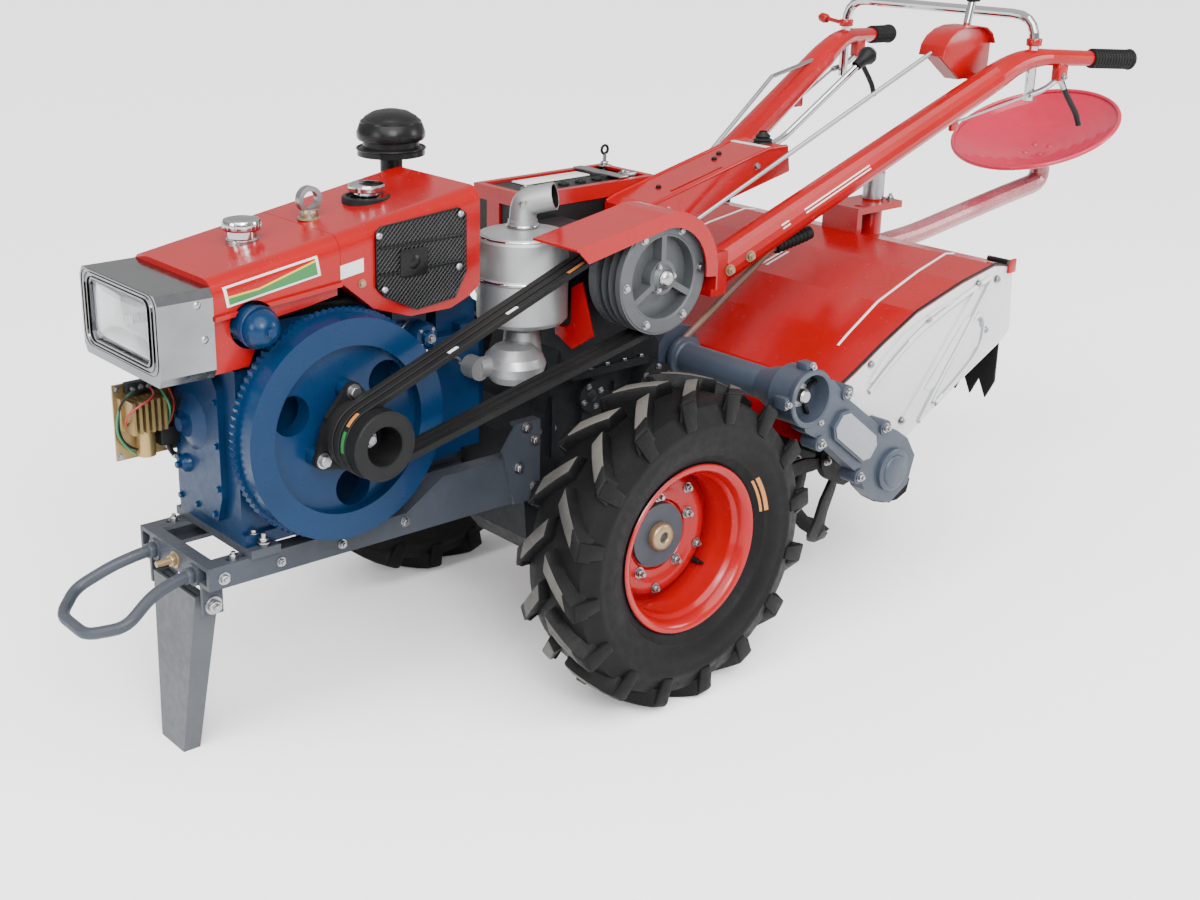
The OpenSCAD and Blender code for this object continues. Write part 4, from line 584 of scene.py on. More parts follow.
def cutout(outline: Sequence[Pair], thick: float, edge: float = 0.0, border: float = 0.0) -> Shape:
    """Flat plate or frame cut to an outline and standing on the ground plane.

    Args:
        outline: Corners of the plate.
        thick: Thickness.
        edge: Rounding of its edges.
        border: Width of the frame that is left when the middle is cut out.

    Returns:
        The plate.
    """
    bm = bmesh.new()
    face = bm.faces.new([bm.verts.new((x, y, 0.0)) for x, y in outline])
    if border:
        bmesh.ops.inset_region(bm, faces=[face], thickness=border, use_even_offset=True, use_boundary=True)
        bmesh.ops.delete(bm, geom=[face], context="FACES")
    raised = bmesh.ops.extrude_face_region(bm, geom=bm.faces[:], use_keep_orig=True)
    tops = [v for v in raised["geom"] if isinstance(v, bmesh.types.BMVert)]
    bmesh.ops.translate(bm, verts=tops, vec=(0.0, 0.0, thick))
    bmesh.ops.recalc_face_normals(bm, faces=bm.faces[:])
    if edge:
        soften(bm, edge)
    return bm


def rounded(width: float, height: float, radius: float, steps: int = 5,
            middle: Pair = (0.0, 0.0)) -> list[Pair]:
    """Outline of a rectangle with round corners.

    Args:
        width: Width of the rectangle.
        height: Height of the rectangle.
        radius: Radius of its corners.
        steps: Steps of a corner.
        middle: Middle of the rectangle.

    Returns:
        The corner points in order.
    """
    points = []
    for quarter, (sx, sy) in enumerate(((1, 1), (-1, 1), (-1, -1), (1, -1))):
        for i in range(steps + 1):
            a = math.pi / 2 * (quarter + i / steps)
            points.append((middle[0] + sx * (width / 2 - radius) + radius * math.cos(a),
                           middle[1] + sy * (height / 2 - radius) + radius * math.sin(a)))
    return points


def run(points: Sequence[Triple], radius: float, smooth: bool = True, hollow: float = 0.0) -> Shape:
    """Round bar or pipe along a row of points.

    Args:
        points: Points that the bar follows.
        radius: Radius of the bar.
        smooth: Whether the bar bends softly at the points.
        hollow: Wall of a pipe with open ends, or zero for a closed bar.

    Returns:
        The bar.
    """
    curve = bpy.data.curves.new("run", "CURVE")
    curve.dimensions = "3D"
    curve.resolution_u = 5
    curve.bevel_depth = radius
    curve.bevel_resolution = 3
    curve.use_fill_caps = not hollow
    spline = curve.splines.new("NURBS" if smooth else "POLY")
    spline.points.add(len(points) - 1)
    for knot, point in zip(spline.points, points):
        knot.co = (*point, 1.0)
    spline.order_u = 3
    spline.use_endpoint_u = True
    holder = bpy.data.objects.new("run", curve)
    mesh = bpy.data.meshes.new_from_object(holder)
    bm = bmesh.new()
    bm.from_mesh(mesh)
    bpy.data.objects.remove(holder)
    bpy.data.curves.remove(curve)
    bpy.data.meshes.remove(mesh)
    bmesh.ops.remove_doubles(bm, verts=bm.verts[:], dist=0.001)
    if hollow:
        bmesh.ops.recalc_face_normals(bm, faces=bm.faces[:])
        bmesh.ops.solidify(bm, geom=bm.faces[:], thickness=hollow)
    return bm


class Stock:
    """A mesh under way, in millimetres about the wheel axle, with the finishes it takes."""

    def __init__(self, *finishes: Finish) -> None:
        """Starts an empty mesh."""
        self.finishes = finishes
        self.bm = bmesh.new()

    def put(self, shape: Shape, place: Matrix = HERE, finish: int | None = 0) -> None:
        """Adds a shape to the mesh.

        Args:
            shape: Shape, which is used up.
            place: Where it goes.
            finish: Which of the finishes it takes, or none where its faces already say.
        """
        bmesh.ops.transform(shape, matrix=place, verts=shape.verts[:])
        bmesh.ops.recalc_face_normals(shape, faces=shape.faces[:])
        if finish is not None:
            for face in shape.faces:
                face.material_index = finish
        scrap = bpy.data.meshes.new("scrap")
        shape.to_mesh(scrap)
        shape.free()
        self.bm.from_mesh(scrap)
        bpy.data.meshes.remove(scrap)

    def repeat(self, shape: Shape, places: Iterable[Matrix], finish: int | None = 0) -> None:
        """Adds a copy of a shape at each of several places.

        Args:
            shape: Shape, which is used up.
            places: Where the copies go.
            finish: Which of the finishes they take.
        """
        for place in places:
            self.put(shape.copy(), place, finish)
        shape.free()

    def make(self, name: str, body: Body, *stands_for: str) -> None:
        """Turns the mesh into a piece of the machine.

        Args:
            name: Piece name.
            body: Body that it rides on.
            stands_for: CAD nodes that it replaces.
        """
        bmesh.ops.transform(self.bm, matrix=TO_ROW, verts=self.bm.verts[:])
        mesh = bpy.data.meshes.new(name)
        self.bm.to_mesh(mesh)
        self.bm.free()
        mesh.shade_smooth()
        mesh.set_sharp_from_angle(angle=SHARP)
        for finish in self.finishes:
            mesh.materials.append(finish.build())
        piece = bpy.data.objects.new(name, mesh)
        bpy.context.scene.collection.objects.link(piece)
        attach(piece, body.value)
        if stands_for:
            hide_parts(*stands_for)
        LOG.info("%s: %d faces on %s", name, len(mesh.polygons), body.value)


@dataclass
class Wheel:
    """Drive wheel: tyre with bar lugs, dished rim and bolts.

    Attributes:
        side: 1 for the left wheel and -1 for the right.
        body: Body that the wheel rides on.
        track: Middle of the tyre from the machine's middle.
        axle: Axle height.
        rim: Bead seat radius.
        tread: Radius of the carcass under the lugs.
        tip: Radius over the lugs.
        lugs: Lugs on each half of the tread.
        skew: Angle that a lug sweeps back, in degrees.
        bead: Radius and height where the sidewall starts.
        belly: Point that draws the sidewall out.
        shoulder: Radius and height where the sidewall ends.
        rings: Steps of the sidewall that have a raised ring.
        ring_rise: Height of a raised ring.
        lug_halves: Half width of a lug at its foot and its top.
        lug_span: Start of a lug off the tyre's middle, and its reach to the side.
        lug_fall: How far a lug's top falls off to the side.
        lug_sink: How much deeper a lug's foot sits at the side.
        worn_span: How far off the tyre's middle the lug tops are worn.
        foot_radii: Radius of a lug's shoulder foot at its lower and upper end.
        foot_widths: Width of that foot at its lower and upper end.
        foot_faces: Height of its inner face, and of its outer face at the lower and upper end.
        label: Profile of the left tyre's blank label.
        barrel: Profile of the rim barrel.
        dish: Profile of the rim's disc.
        cap: Profile of the hub's ring cap.
        valve: Profile of the valve.
    """

    side: int
    body: Body
    track: float = 400.0
    axle: float = 318.0
    rim: float = 152.0
    tread: float = 292.0
    tip: float = 318.0
    lugs: int = 16
    skew: float = 15.0
    bead: Pair = (168.0, 57.0)
    belly: Pair = (218.0, 99.0)
    shoulder: Pair = (284.0, 70.0)
    rings: tuple[int, ...] = (3, 11, 12)
    ring_rise: float = 2.6
    lug_halves: Pair = (24.0, 18.0)
    lug_span: Pair = (4.8, 72.8)
    lug_fall: float = 6.5
    lug_sink: float = 14.0
    worn_span: float = 54.0
    foot_radii: Pair = (250.0, 306.0)
    foot_widths: Pair = (26.0, 36.0)
    foot_faces: Triple = (66.0, 86.0, 80.5)
    label: Pairs = ((181, 68.0), (189, 72.4), (197, 76.0))
    barrel: Pairs = ((168, 62), (166, 64), (161, 64), (155, 61), (150, 56), (147, 44), (145, 40), (140, 36),
                     (138, 30), (137, 8), (133, 3), (132, -28), (136, -46), (143, -54), (152, -58),
                     (165, -60))
    dish: Pairs = ((34, -35), (62, -35), (68, -34), (72, -29), (90, -28), (94, -25), (110, -23), (118, -24),
                   (124, -30), (134, -34), (134, -43), (112, -38), (78, -38), (62, -43), (34, -43))
    cap: Pairs = ((10, -24), (10, -10), (12, -8), (21, -8), (26, -11), (28, -15), (28, -24))
    valve: Pairs = ((0, 30), (3, 30), (3.4, 22), (5, 21), (5.5, 6), (8, 0))

    @property
    def word(self) -> str:
        """Name of this wheel's side."""
        return "left" if self.side > 0 else "right"

    def build(self) -> None:
        """Makes the tyre, the rim and the bolts."""
        self.tyre()
        self.disc()
        self.bolts()

    def place(self, turn: float = 0.0) -> Matrix:
        """Place of a shape on this wheel's axle, turned by degrees, with its top to the outside."""
        left = stand(0.0, self.track, self.axle, LEFT, turn)
        return left if self.side > 0 else MIRROR @ left

    def flank(self) -> list[Pair]:
        """Sidewall from the bead to the shoulder, with raised rings.

        Returns:
            Points of the sidewall in radius and height.
        """
        rows = []
        knots = (self.bead, self.belly, self.shoulder)
        for i in range(17):
            t = i / 16
            shares = ((1 - t) ** 2, 2 * t * (1 - t), t * t)
            r, h = (sum(s * p[k] for s, p in zip(shares, knots)) for k in (0, 1))
            rows.append((r, h + self.ring_rise if i in self.rings else h))
        return rows

    def lug(self) -> Shape:
        """One bar lug on the left half of the tread.

        Returns:
            The lug with its foot sunk into the carcass.
        """
        bm = bmesh.new()
        bmesh.ops.create_cube(bm, size=1.0)
        across = [e for e in bm.edges if abs(e.verts[0].co.z - e.verts[1].co.z) > 0.5]
        bmesh.ops.subdivide_edges(bm, edges=across, cuts=3, use_grid_fill=True)
        for v in bm.verts:
            share = v.co.z + 0.5
            top = v.co.x > 0.0
            sunk = self.tread - self.lug_fall - self.lug_sink * share
            reach = self.tip - self.lug_fall * share ** 2 if top else sunk
            half = 2.0 * v.co.y * self.lug_halves[top]
            sweep = math.radians(self.skew) * share
            v.co = (reach * math.cos(sweep) - half * math.sin(sweep),
                    reach * math.sin(sweep) + half * math.cos(sweep),
                    self.lug_span[0] + self.lug_span[1] * share)
        soften(bm, 4.0)
        bm.normal_update()
        for face in bm.faces:
            middle = face.calc_center_median()
            faces_out = face.normal.dot(Vector((middle.x, middle.y, 0.0)).normalized()) > 0.75
            on_top = middle.to_2d().length > self.tread + 12
            face.material_index = int(faces_out and on_top and middle.z < self.worn_span)
        return bm

    def buttress(self) -> Shape:
        """The foot of a lug that runs down over the shoulder.

        Returns:
            The foot, lying along x.
        """
        bm = bmesh.new()
        bmesh.ops.create_cube(bm, size=1.0)
        inner, *outer = self.foot_faces
        for v in bm.verts:
            high = v.co.x > 0.0
            face = inner if v.co.z < 0.0 else outer[high]
            v.co = (self.foot_radii[high], v.co.y * self.foot_widths[high], face)
        soften(bm, 3.5)
        return bm

    def tyre(self) -> None:
        """Makes the carcass, its lugs and the left tyre's label."""
        outline = [(self.rim, self.bead[1]), *self.flank(), (self.tread - 1, 48.0), (self.tread, 20.0)]
        outline += [(r, -h) for r, h in reversed(outline)]
        stock = Stock(TYRE_RUBBER, LUG_RUBBER, MARK_ORANGE)
        stock.put(turned(outline, 96, closed=True), self.place())
        step = 360.0 / self.lugs
        flip = Matrix.Scale(-1.0, 4, UP)
        for i in range(self.lugs):
            start = 90.0 - self.skew / 2 + i * step
            for place in (self.place(start), self.place(start + step / 2) @ flip):
                stock.put(self.lug(), place, None)
                stock.put(self.buttress(), place @ spin(self.skew))
        if self.side > 0:
            stock.put(turned(self.label, 12, sweep=24.0, wall=0.5), self.place(11.0), 2)
        stock.make(f"tyre_{self.word}", self.body, f"{self.word}_tyre")

    def disc(self) -> None:
        """Makes the rim barrel with its lips and the dished disc."""
        stock = Stock(RED_PAINT)
        stock.put(turned(self.barrel, 72, wall=4.0), self.place())
        stock.put(turned(self.dish, 72, closed=True), self.place())
        stock.make(f"rim_{self.word}", self.body, f"{self.word}_rim")

    def bolts(self) -> None:
        """Makes the two rings of wheel bolts, the ring cap of the hub and the valve."""
        stock = Stock(PLAIN_STEEL, TAN_ZINC, GRIP_RUBBER)
        stock.repeat(bolt(9.0, 7.0), ring(self.place(), 5, 81.0, -28.5, 20.0))
        stock.repeat(bolt(8.0, 5.0), ring(self.place(), 5, 108.0, -23.0, 50.0))
        stock.put(turned(self.cap, 36, closed=True), self.place(), 1)
        stock.put(turned(self.valve, 16), self.place(-38.0) @ shift(126, 0, -31), 2)
        stock.make(f"wheel_bolts_{self.word}", self.body)


@dataclass
class BeltDrive:
    """Three drive belts between the crank pulley and the clutch pulley, with plain colour marks.

    Attributes:
        clutch: Clutch centre in x and z.
        crank: Crank centre in x and z.
        big: Clutch pulley radius.
        small: Crank pulley radius.
        lanes: Middle of each belt across the machine.
        section: Section of a belt in height over the pulley and width.
        stamps: Marks on the lower run, each with its reach, length and finish.
        patches: Marks round the crank, each with its start, sweep and finish.
    """

    clutch: Pair = (-64.0, 800.0)
    crank: Pair = (585.0, 610.0)
    big: float = 110.0
    small: float = 62.0
    lanes: Triple = (236.0, 255.0, 274.0)
    section: Pairs = ((1.2, -7.5), (2.4, -6.2), (2.4, 6.2), (1.2, 7.5), (-9.0, 5.2), (-9.0, -5.2))
    stamps: tuple[tuple[float, float, int], ...] = ((120, 44, 0), (172, 40, 1), (330, 26, 2), (470, 22, 2))
    patches: tuple[tuple[float, float, int], ...] = ((-6, 34, 0), (36, 26, 1))

    def place(self, lane: float) -> Matrix:
        """Place of a loop drawn with the clutch at the origin and the crank on x.

        Args:
            lane: Middle of the belt across the machine.

        Returns:
            The matrix that puts the loop there.
        """
        along = Vector((self.crank[0] - self.clutch[0], 0.0, self.crank[1] - self.clutch[1])).normalized()
        over = Vector(LEFT).cross(along)
        return shift(self.clutch[0], lane, self.clutch[1]) @ Matrix((along, over, LEFT)).transposed().to_4x4()

    def span(self) -> float:
        """Distance between the two centres."""
        return math.hypot(self.crank[0] - self.clutch[0], self.crank[1] - self.clutch[1])

    def lean(self) -> float:
        """Angle between a straight run and the line of centres."""
        return math.asin((self.big - self.small) / self.span())

    def loop(self) -> Shape:
        """One belt loop: two wraps and two straight runs.

        Returns:
            The closed belt.
        """
        lean, span = self.lean(), self.span()
        start, away = math.pi / 2 - lean, 1.5 * math.pi + lean
        drop = self.small - self.big
        bm = bmesh.new()
        end = [bm.verts.new(((self.big + d) * math.cos(start), (self.big + d) * math.sin(start), w))
               for d, w in self.section]
        edges = [bm.edges.new((a, b)) for a, b in zip(end, end[1:] + end[:1])]
        edges = self.wrap(bm, edges, (0, 0, 0), math.pi + 2 * lean)
        edges = self.haul(bm, edges, (span + drop * math.cos(away), drop * math.sin(away), 0))
        edges = self.wrap(bm, edges, (span, 0, 0), math.pi - 2 * lean)
        self.haul(bm, edges, (-span - drop * math.cos(start), -drop * math.sin(start), 0))
        bmesh.ops.remove_doubles(bm, verts=bm.verts[:], dist=0.02)
        return bm

    def wrap(self, bm: Shape, edges: list[bmesh.types.BMEdge], centre: Triple,
             angle: float) -> list[bmesh.types.BMEdge]:
        """Spins the section at a belt's open end round a pulley, by radians, and gives the new end."""
        spun = bmesh.ops.spin(bm, geom=edges, cent=centre, axis=UP, angle=angle, steps=26)
        return [g for g in spun["geom_last"] if isinstance(g, bmesh.types.BMEdge)]

    def haul(self, bm: Shape, edges: list[bmesh.types.BMEdge], vec: Triple) -> list[bmesh.types.BMEdge]:
        """Draws the belt's section along a straight run.

        Args:
            bm: Belt under way.
            edges: Section at the belt's open end.
            vec: Step of the run.

        Returns:
            Section at the new end.
        """
        drawn = bmesh.ops.extrude_edge_only(bm, edges=edges)["geom"]
        bmesh.ops.translate(bm, verts=[g for g in drawn if isinstance(g, bmesh.types.BMVert)], vec=vec)
        return [g for g in drawn if isinstance(g, bmesh.types.BMEdge)]

    def marks(self) -> None:
        """Makes the plain colour marks on the outer belt."""
        stock = Stock(MARK_GREEN, MARK_ORANGE, MARK_WHITE)
        lane = self.lanes[-1]
        away = 1.5 * math.pi + self.lean()
        normal = Vector((math.cos(away), math.sin(away), 0))
        along = Vector((-normal.y, normal.x, 0))
        turn = Matrix((along, UP, normal)).transposed().to_4x4()
        for reach, length, finish in self.stamps:
            spot = normal * (self.big + 2.6) + along * reach
            stock.put(block((length, 8.0, 0.6), 0.2), self.place(lane) @ shift(*spot) @ turn, finish)
        for start, sweep, finish in self.patches:
            patch = turned([(self.small + 2.9, -4), (self.small + 2.9, 4)], 10, sweep=sweep, wall=0.4)
            stock.put(patch, stand(self.crank[0], lane, self.crank[1], LEFT, 180 - start - sweep), finish)
        stock.make("belt_marks", Body.CHASSIS)

    def build(self) -> None:
        """Makes the belts and their marks."""
        stock = Stock(BELT_RUBBER)
        stock.repeat(self.loop(), [self.place(lane) for lane in self.lanes])
        stock.make("v_belts", Body.CHASSIS, "drive_belts")
        self.marks()


@dataclass
class PulleyFaces:
    """Bolts and caps on the clutch pulley and the crank pulley.

    Attributes:
        clutch: Clutch centre in x, face and z.
        crank: Crank centre in x, flange face and z.
        nut: Profile of the clutch's domed nut.
        band: Profile of the clutch's outer band.
        lip: Profile of the crank pulley's lip.
    """

    clutch: Triple = (-64.0, 295.0, 800.0)
    crank: Triple = (585.0, 215.0, 610.0)
    nut: Pairs = ((14, 6), (17, 10), (15, 15), (10, 18), (0, 19))
    band: Pairs = ((81, -1), (84, 1.5), (106, 1.5), (108, -1))
    lip: Pairs = ((36, 89), (37.5, 92.8), (58, 92.8), (61.5, 90), (61.5, 84))

    def build(self) -> None:
        """Makes the pieces that turn with each pulley."""
        face = Stock(GREY_CAST, PLAIN_STEEL)
        place = stand(*self.clutch, LEFT)
        face.put(turned(self.nut, 28), place, 1)
        face.put(turned(self.band, 64), place)
        face.repeat(bolt(6.5), ring(place, 6, 95.0, 1.0, 4.0), 1)
        face.repeat(bolt(4.5), ring(place, 3, 25.0, 2.0), 1)
        face.make("clutch_face", Body.CLUTCH)
        crank = Stock(PLAIN_STEEL, BLACK_CAST)
        place = stand(*self.crank, LEFT)
        crank.repeat(bolt(11.0), ring(place, 3, 74.4, 0.0, 90.0))
        crank.put(turned(self.lip, 48), place, 1)
        crank.put(bolt(17.0, 8.0), place @ shift(0, 0, 30.5))
        crank.make("crank_bolts", Body.CRANK)


@dataclass
class Hood:
    """Red hood trim: striped side panel, caps, tag and small fixings.

    Attributes:
        half: Half width of the hood.
        crest: Crest height at the front edge and the rear edge.
        ends: Front and rear edge of the crest.
        corner: Radius of the hood's top corner.
        panel: Corners of the striped panel in x and z, from its front top corner round the rear.
        knots: Shares of the panel's length where its lines bend.
        lines: Height shares of its lower edge, its slanting line and its upper edge at the knots.
        rise: Height share of the slanting stripe.
        tag: Corners of the blank tag in x and z.
        caps_at: Fuel cap and water cap along the hood.
        fuel_cap: Profile of the fuel cap.
        water_seat: Profile of the ring under the water cap.
        water_cap: Profile of the water cap.
        screw: Profile of a round screw head.
        lamp_screws: Screws behind the lamp in x and z.
        eye: Lifting eye along the hood.
    """

    half: float = 140.0
    crest: Pair = (897.0, 987.0)
    ends: Pair = (806.0, 252.0)
    corner: float = 30.0
    panel: Pairs = ((786.0, 884.0), (602.0, 911.0), (596.0, 876.0), (780.0, 849.0))
    knots: Triple = (0.03, 0.35, 0.97)
    lines: Triples = ((0.1, 0.1, 0.1), (0.42, 0.34, 0.74), (0.9, 0.9, 0.9))
    rise: float = 0.1
    tag: Pairs = ((556, 862), (508, 869), (508, 893), (556, 886))
    caps_at: Pair = (666, 404)
    fuel_cap: Pairs = ((29, -8), (29, 5), (26, 8), (25, 20), (32, 21), (34, 24), (34, 35), (32, 39),
                       (26, 40.5), (20, 39.5), (0, 40))
    water_seat: Pairs = ((46, -9), (46, 4), (43, 6), (38, 6), (36, 2), (30, 2))
    water_cap: Pairs = ((26, -7), (26, 13), (33, 14), (34, 16), (34, 24), (31, 27), (20, 28), (0, 28))
    screw: Pairs = ((0, 3), (4, 2.6), (6, 1.4), (7, 0))
    lamp_screws: Pairs = ((836, 863), (825, 803))
    eye: float = 528.0

    def crest_at(self, x: float) -> float:
        """Crest height at a place along the hood."""
        share = (self.ends[0] - x) / (self.ends[0] - self.ends[1])
        return self.crest[0] + share * (self.crest[1] - self.crest[0])

    def skin(self, x: float, z: float) -> float:
        """Half width of the hood at a point, which falls off round its top corner.

        Args:
            x: Place along the hood.
            z: Height.

        Returns:
            The half width there.
        """
        rise = z - self.crest_at(x) + self.corner
        if rise <= 0.0:
            return self.half
        return self.half - self.corner + math.sqrt(max(self.corner ** 2 - rise ** 2, 0.0))

    def band(self, low: Sequence[Pair], high: Sequence[Pair], lift: float) -> Shape:
        """A band of the panel between two lines of shares, laid on the hood's skin.

        Args:
            low: Lower line, in shares of the panel's length and height.
            high: Upper line, with the same length shares.
            lift: Height above the skin.

        Returns:
            The band on the left side.
        """
        bm = bmesh.new()
        (ax, az), (bx, bz), (cx, cz), (dx, dz) = self.panel
        for i in range(len(low) - 1):
            grid = bmesh.ops.create_grid(bm, x_segments=6, y_segments=4, size=0.5)
            for v in grid["verts"]:
                s, t = v.co.x + 0.5, v.co.y + 0.5
                u = low[i][0] + s * (low[i + 1][0] - low[i][0])
                base = low[i][1] + s * (low[i + 1][1] - low[i][1])
                head = high[i][1] + s * (high[i + 1][1] - high[i][1])
                w = base + t * (head - base)
                x = (1 - w) * (dx + u * (cx - dx)) + w * (ax + u * (bx - ax))
                z = (1 - w) * (dz + u * (cz - dz)) + w * (az + u * (bz - az))
                v.co = (x, self.skin(x, z) + lift, z)
        bmesh.ops.remove_doubles(bm, verts=bm.verts[:], dist=0.01)
        return bm

    def stripes(self) -> None:
        """Makes the white-edged panel with its slanting stripe on both sides."""
        stock = Stock(MARK_WHITE, MARK_GREEN, MARK_YELLOW, RED_PAINT)
        edge, line, top = (list(zip(self.knots, shares)) for shares in self.lines)
        over = [(u, w + self.rise) for u, w in line]
        layers = (([(0, 0), (1, 0)], [(0, 1), (1, 1)], 0.4), (edge, line, 0.8), (line, over, 0.8),
                  (over, top, 0.8))
        for finish, layer in enumerate(layers):
            stock.repeat(self.band(*layer), both(HERE), finish)
        stock.make("hood_stripes", Body.CHASSIS)

    def caps(self) -> None:
        """Makes the ridged fuel cap and the water cap."""
        stock = Stock(CHROME, BLACK_PLASTIC)
        fuel, water = (stand(x, 0, self.crest_at(x)) for x in self.caps_at)
        stock.put(turned(self.fuel_cap, 48), fuel)
        stock.put(turned(self.water_seat, 48), water, 1)
        stock.put(turned(self.water_cap, 48), water)
        stock.repeat(block((2.4, 3.0, 11.0), 0.7), ring(fuel, 24, 33.6, 29.5))
        stock.make("hood_caps", Body.CHASSIS, "filler_caps")

    def fixings(self) -> None:
        """Makes the blank tag, the screws and the nut under the lifting eye."""
        stock = Stock(PLAIN_STEEL, MARK_WHITE, TAN_ZINC)
        stock.put(cutout(self.tag, 0.5), on_side(self.half + 0.2), 1)
        stock.repeat(turned(self.screw, 20), both(*spots(self.lamp_screws, 142.0)))
        stock.repeat(bolt(6.0), both(stand(512, 139.5, 848, LEFT)), 2)
        stock.put(bolt(17.0), stand(self.eye, 0, self.crest_at(self.eye) - 1.0), 2)
        stock.make("hood_fixings", Body.CHASSIS)

    def build(self) -> None:
        """Makes all the hood trim."""
        self.stripes()
        self.caps()
        self.fixings()


@dataclass
class Lamp:
    """Headlamp front: reflector, fluted glass, rubber frames and bright bezel.

    Attributes:
        face: Front face of the shell.
        size: Width and height of the opening.
        middle: Height of the opening's middle.
        flutes: Flutes across the glass.
        bulb: Profile of the bulb.
        frames: Frames round the opening, each with its growth in width and height, corner radius, thickness,
            edge, border, set back and finish.
    """

    face: float = 908.0
    size: Pair = (213.0, 107.8)
    middle: float = 817.7
    flutes: int = 24
    bulb: Pairs = ((0, 22), (8, 18), (10, 10), (7, 0))
    frames: tuple[tuple[float, ...], ...] = (
        (9, 9, 16, 4.5, 1.5, 7.0, 2.0, 1),
        (34, 22, 22, 3.0, 1.2, 4.5, 1.0, 0),
        (58, 30, 24, 1.6, 0.6, 2.5, 0.6, 1))

    def place(self, back: float) -> Matrix:
        """Place of a flat cut set back from the face, whose thickness goes forward."""
        turn = Matrix(((0, 0, 1), (1, 0, 0), (0, 1, 0))).to_4x4()
        return shift(self.face - back, 0, self.middle) @ turn

    def bowl(self, depth: float, flute: float) -> Shape:
        """A crowned sheet over the opening.

        Args:
            depth: Height of the crown, below zero for a hollow.
            flute: Height of the upright flutes pressed into it.

        Returns:
            The sheet.
        """
        wide, high = self.size
        bm = bmesh.new()
        bmesh.ops.create_grid(bm, x_segments=72, y_segments=16, size=0.5)
        for v in bm.verts:
            fall = (1 - (2 * v.co.x) ** 4) * (1 - (2 * v.co.y) ** 4)
            wave = flute * math.cos(v.co.x * self.flutes * math.tau) * (1.0 if abs(v.co.y) < 0.36 else 0.0)
            v.co = (v.co.x * (wide - 3), v.co.y * (high - 3), depth * fall + wave)
        bmesh.ops.solidify(bm, geom=bm.faces[:], thickness=1.2)
        return bm

    def build(self) -> None:
        """Makes the lamp pieces."""
        glass = Stock(LAMP_GLASS)
        glass.put(self.bowl(9.0, 0.5), self.place(7.0))
        glass.make("lamp_glass", Body.CHASSIS, "headlamp_lens")
        inside = Stock(CHROME, BLACK_PLASTIC, LAMP_BULB)
        inside.put(self.bowl(-20.0, 0.0), self.place(12.0))
        inside.put(turned(self.bulb, 20), stand(self.face - 33.0, 0, self.middle, FRONT), 2)
        wide, high = self.size
        for more_wide, more_high, radius, thick, edge, border, back, finish in self.frames:
            frame_cut = cutout(rounded(wide + more_wide, high + more_high, radius), thick, edge, border)
            inside.put(frame_cut, self.place(back), finish)
        inside.make("lamp_inside", Body.CHASSIS)


@dataclass
class Grille:
    """Radiator screen of crossed wire in a dark frame, with bars, a round-buttoned plate and corner screws.

    Attributes:
        corner: Lower rear corner in x and z.
        size: Length and height.
        shares: Outline in shares of the size.
        bars: Heights of the two bars.
        plate: Middle of the plate in x and z.
        screws: Corner screws in x and z.
        screw: Profile of a screw head.
    """

    corner: Pair = (288.0, 784.0)
    size: Pair = (196.0, 172.0)
    shares: Pairs = ((0, 0.31), (0.13, 0.05), (0.57, 0), (0.92, 0.2), (1, 0.3), (1, 0.87), (0.94, 0.93),
                     (0.08, 1), (0, 0.93))
    bars: Pair = (858.0, 906.0)
    plate: Pair = (405.0, 872.0)
    screws: Pairs = ((478, 928), (300, 944), (304, 848), (468, 830))
    screw: Pairs = ((0, 3.2), (4, 3), (6, 1.6), (7, 0))

    def outline(self) -> list[Pair]:
        """Corners of the screen in x and z."""
        (x, z), (long, high) = self.corner, self.size
        return [(x + u * long, z + w * high) for u, w in self.shares]

    def wires(self, cell: float, wire: float) -> Shape:
        """Crossed wires trimmed to the outline.

        Args:
            cell: Side of an opening.
            wire: Half thickness of a wire.

        Returns:
            The screen, flat in x and z.
        """
        count = int(1.5 * self.size[0] / cell)
        place = shift(self.corner[0] + self.size[0] / 2, self.corner[1] + self.size[1] / 2, 0) @ spin(45)
        bm = bmesh.new()
        bmesh.ops.create_grid(bm, x_segments=count, y_segments=count, size=count * cell / 2, matrix=place)
        outline = self.outline()
        for (ax, ay), (bx, by) in zip(outline, outline[1:] + outline[:1]):
            bmesh.ops.bisect_plane(bm, geom=bm.verts[:] + bm.edges[:] + bm.faces[:], plane_co=(ax, ay, 0),
                                   plane_no=(by - ay, ax - bx, 0), clear_outer=True)
        bmesh.ops.wireframe(bm, faces=bm.faces[:], thickness=wire, use_replace=True, use_boundary=True,
                            use_even_offset=True)
        return bm

    def build(self) -> None:
        """Makes the screen, its frame and what is fixed to it."""
        stock = Stock(BLACK_PAINT, SCREEN_WIRE, PLAIN_STEEL)
        stock.put(cutout(self.outline(), 2.0), on_side(142.0))
        stock.put(self.wires(6.5, 1.1), on_side(145.0), 1)
        stock.put(cutout(self.outline(), 6.5, 1.2, border=7.0), on_side(147.0))
        stock.repeat(block((182, 3.5, 4.0), 1.0), [shift(386, 145.5, z) for z in self.bars])
        stock.put(cutout(rounded(60, 50, 6, middle=self.plate), 2.0, 0.8), on_side(148.0))
        stock.put(turned([(0, 3), (9, 2), (13, 0)], 24), stand(self.plate[0], 148, self.plate[1], LEFT))
        stock.repeat(turned(self.screw, 20), spots(self.screws, 146.8), 2)
        stock.make("radiator_screen", Body.CHASSIS, "radiator_grille")


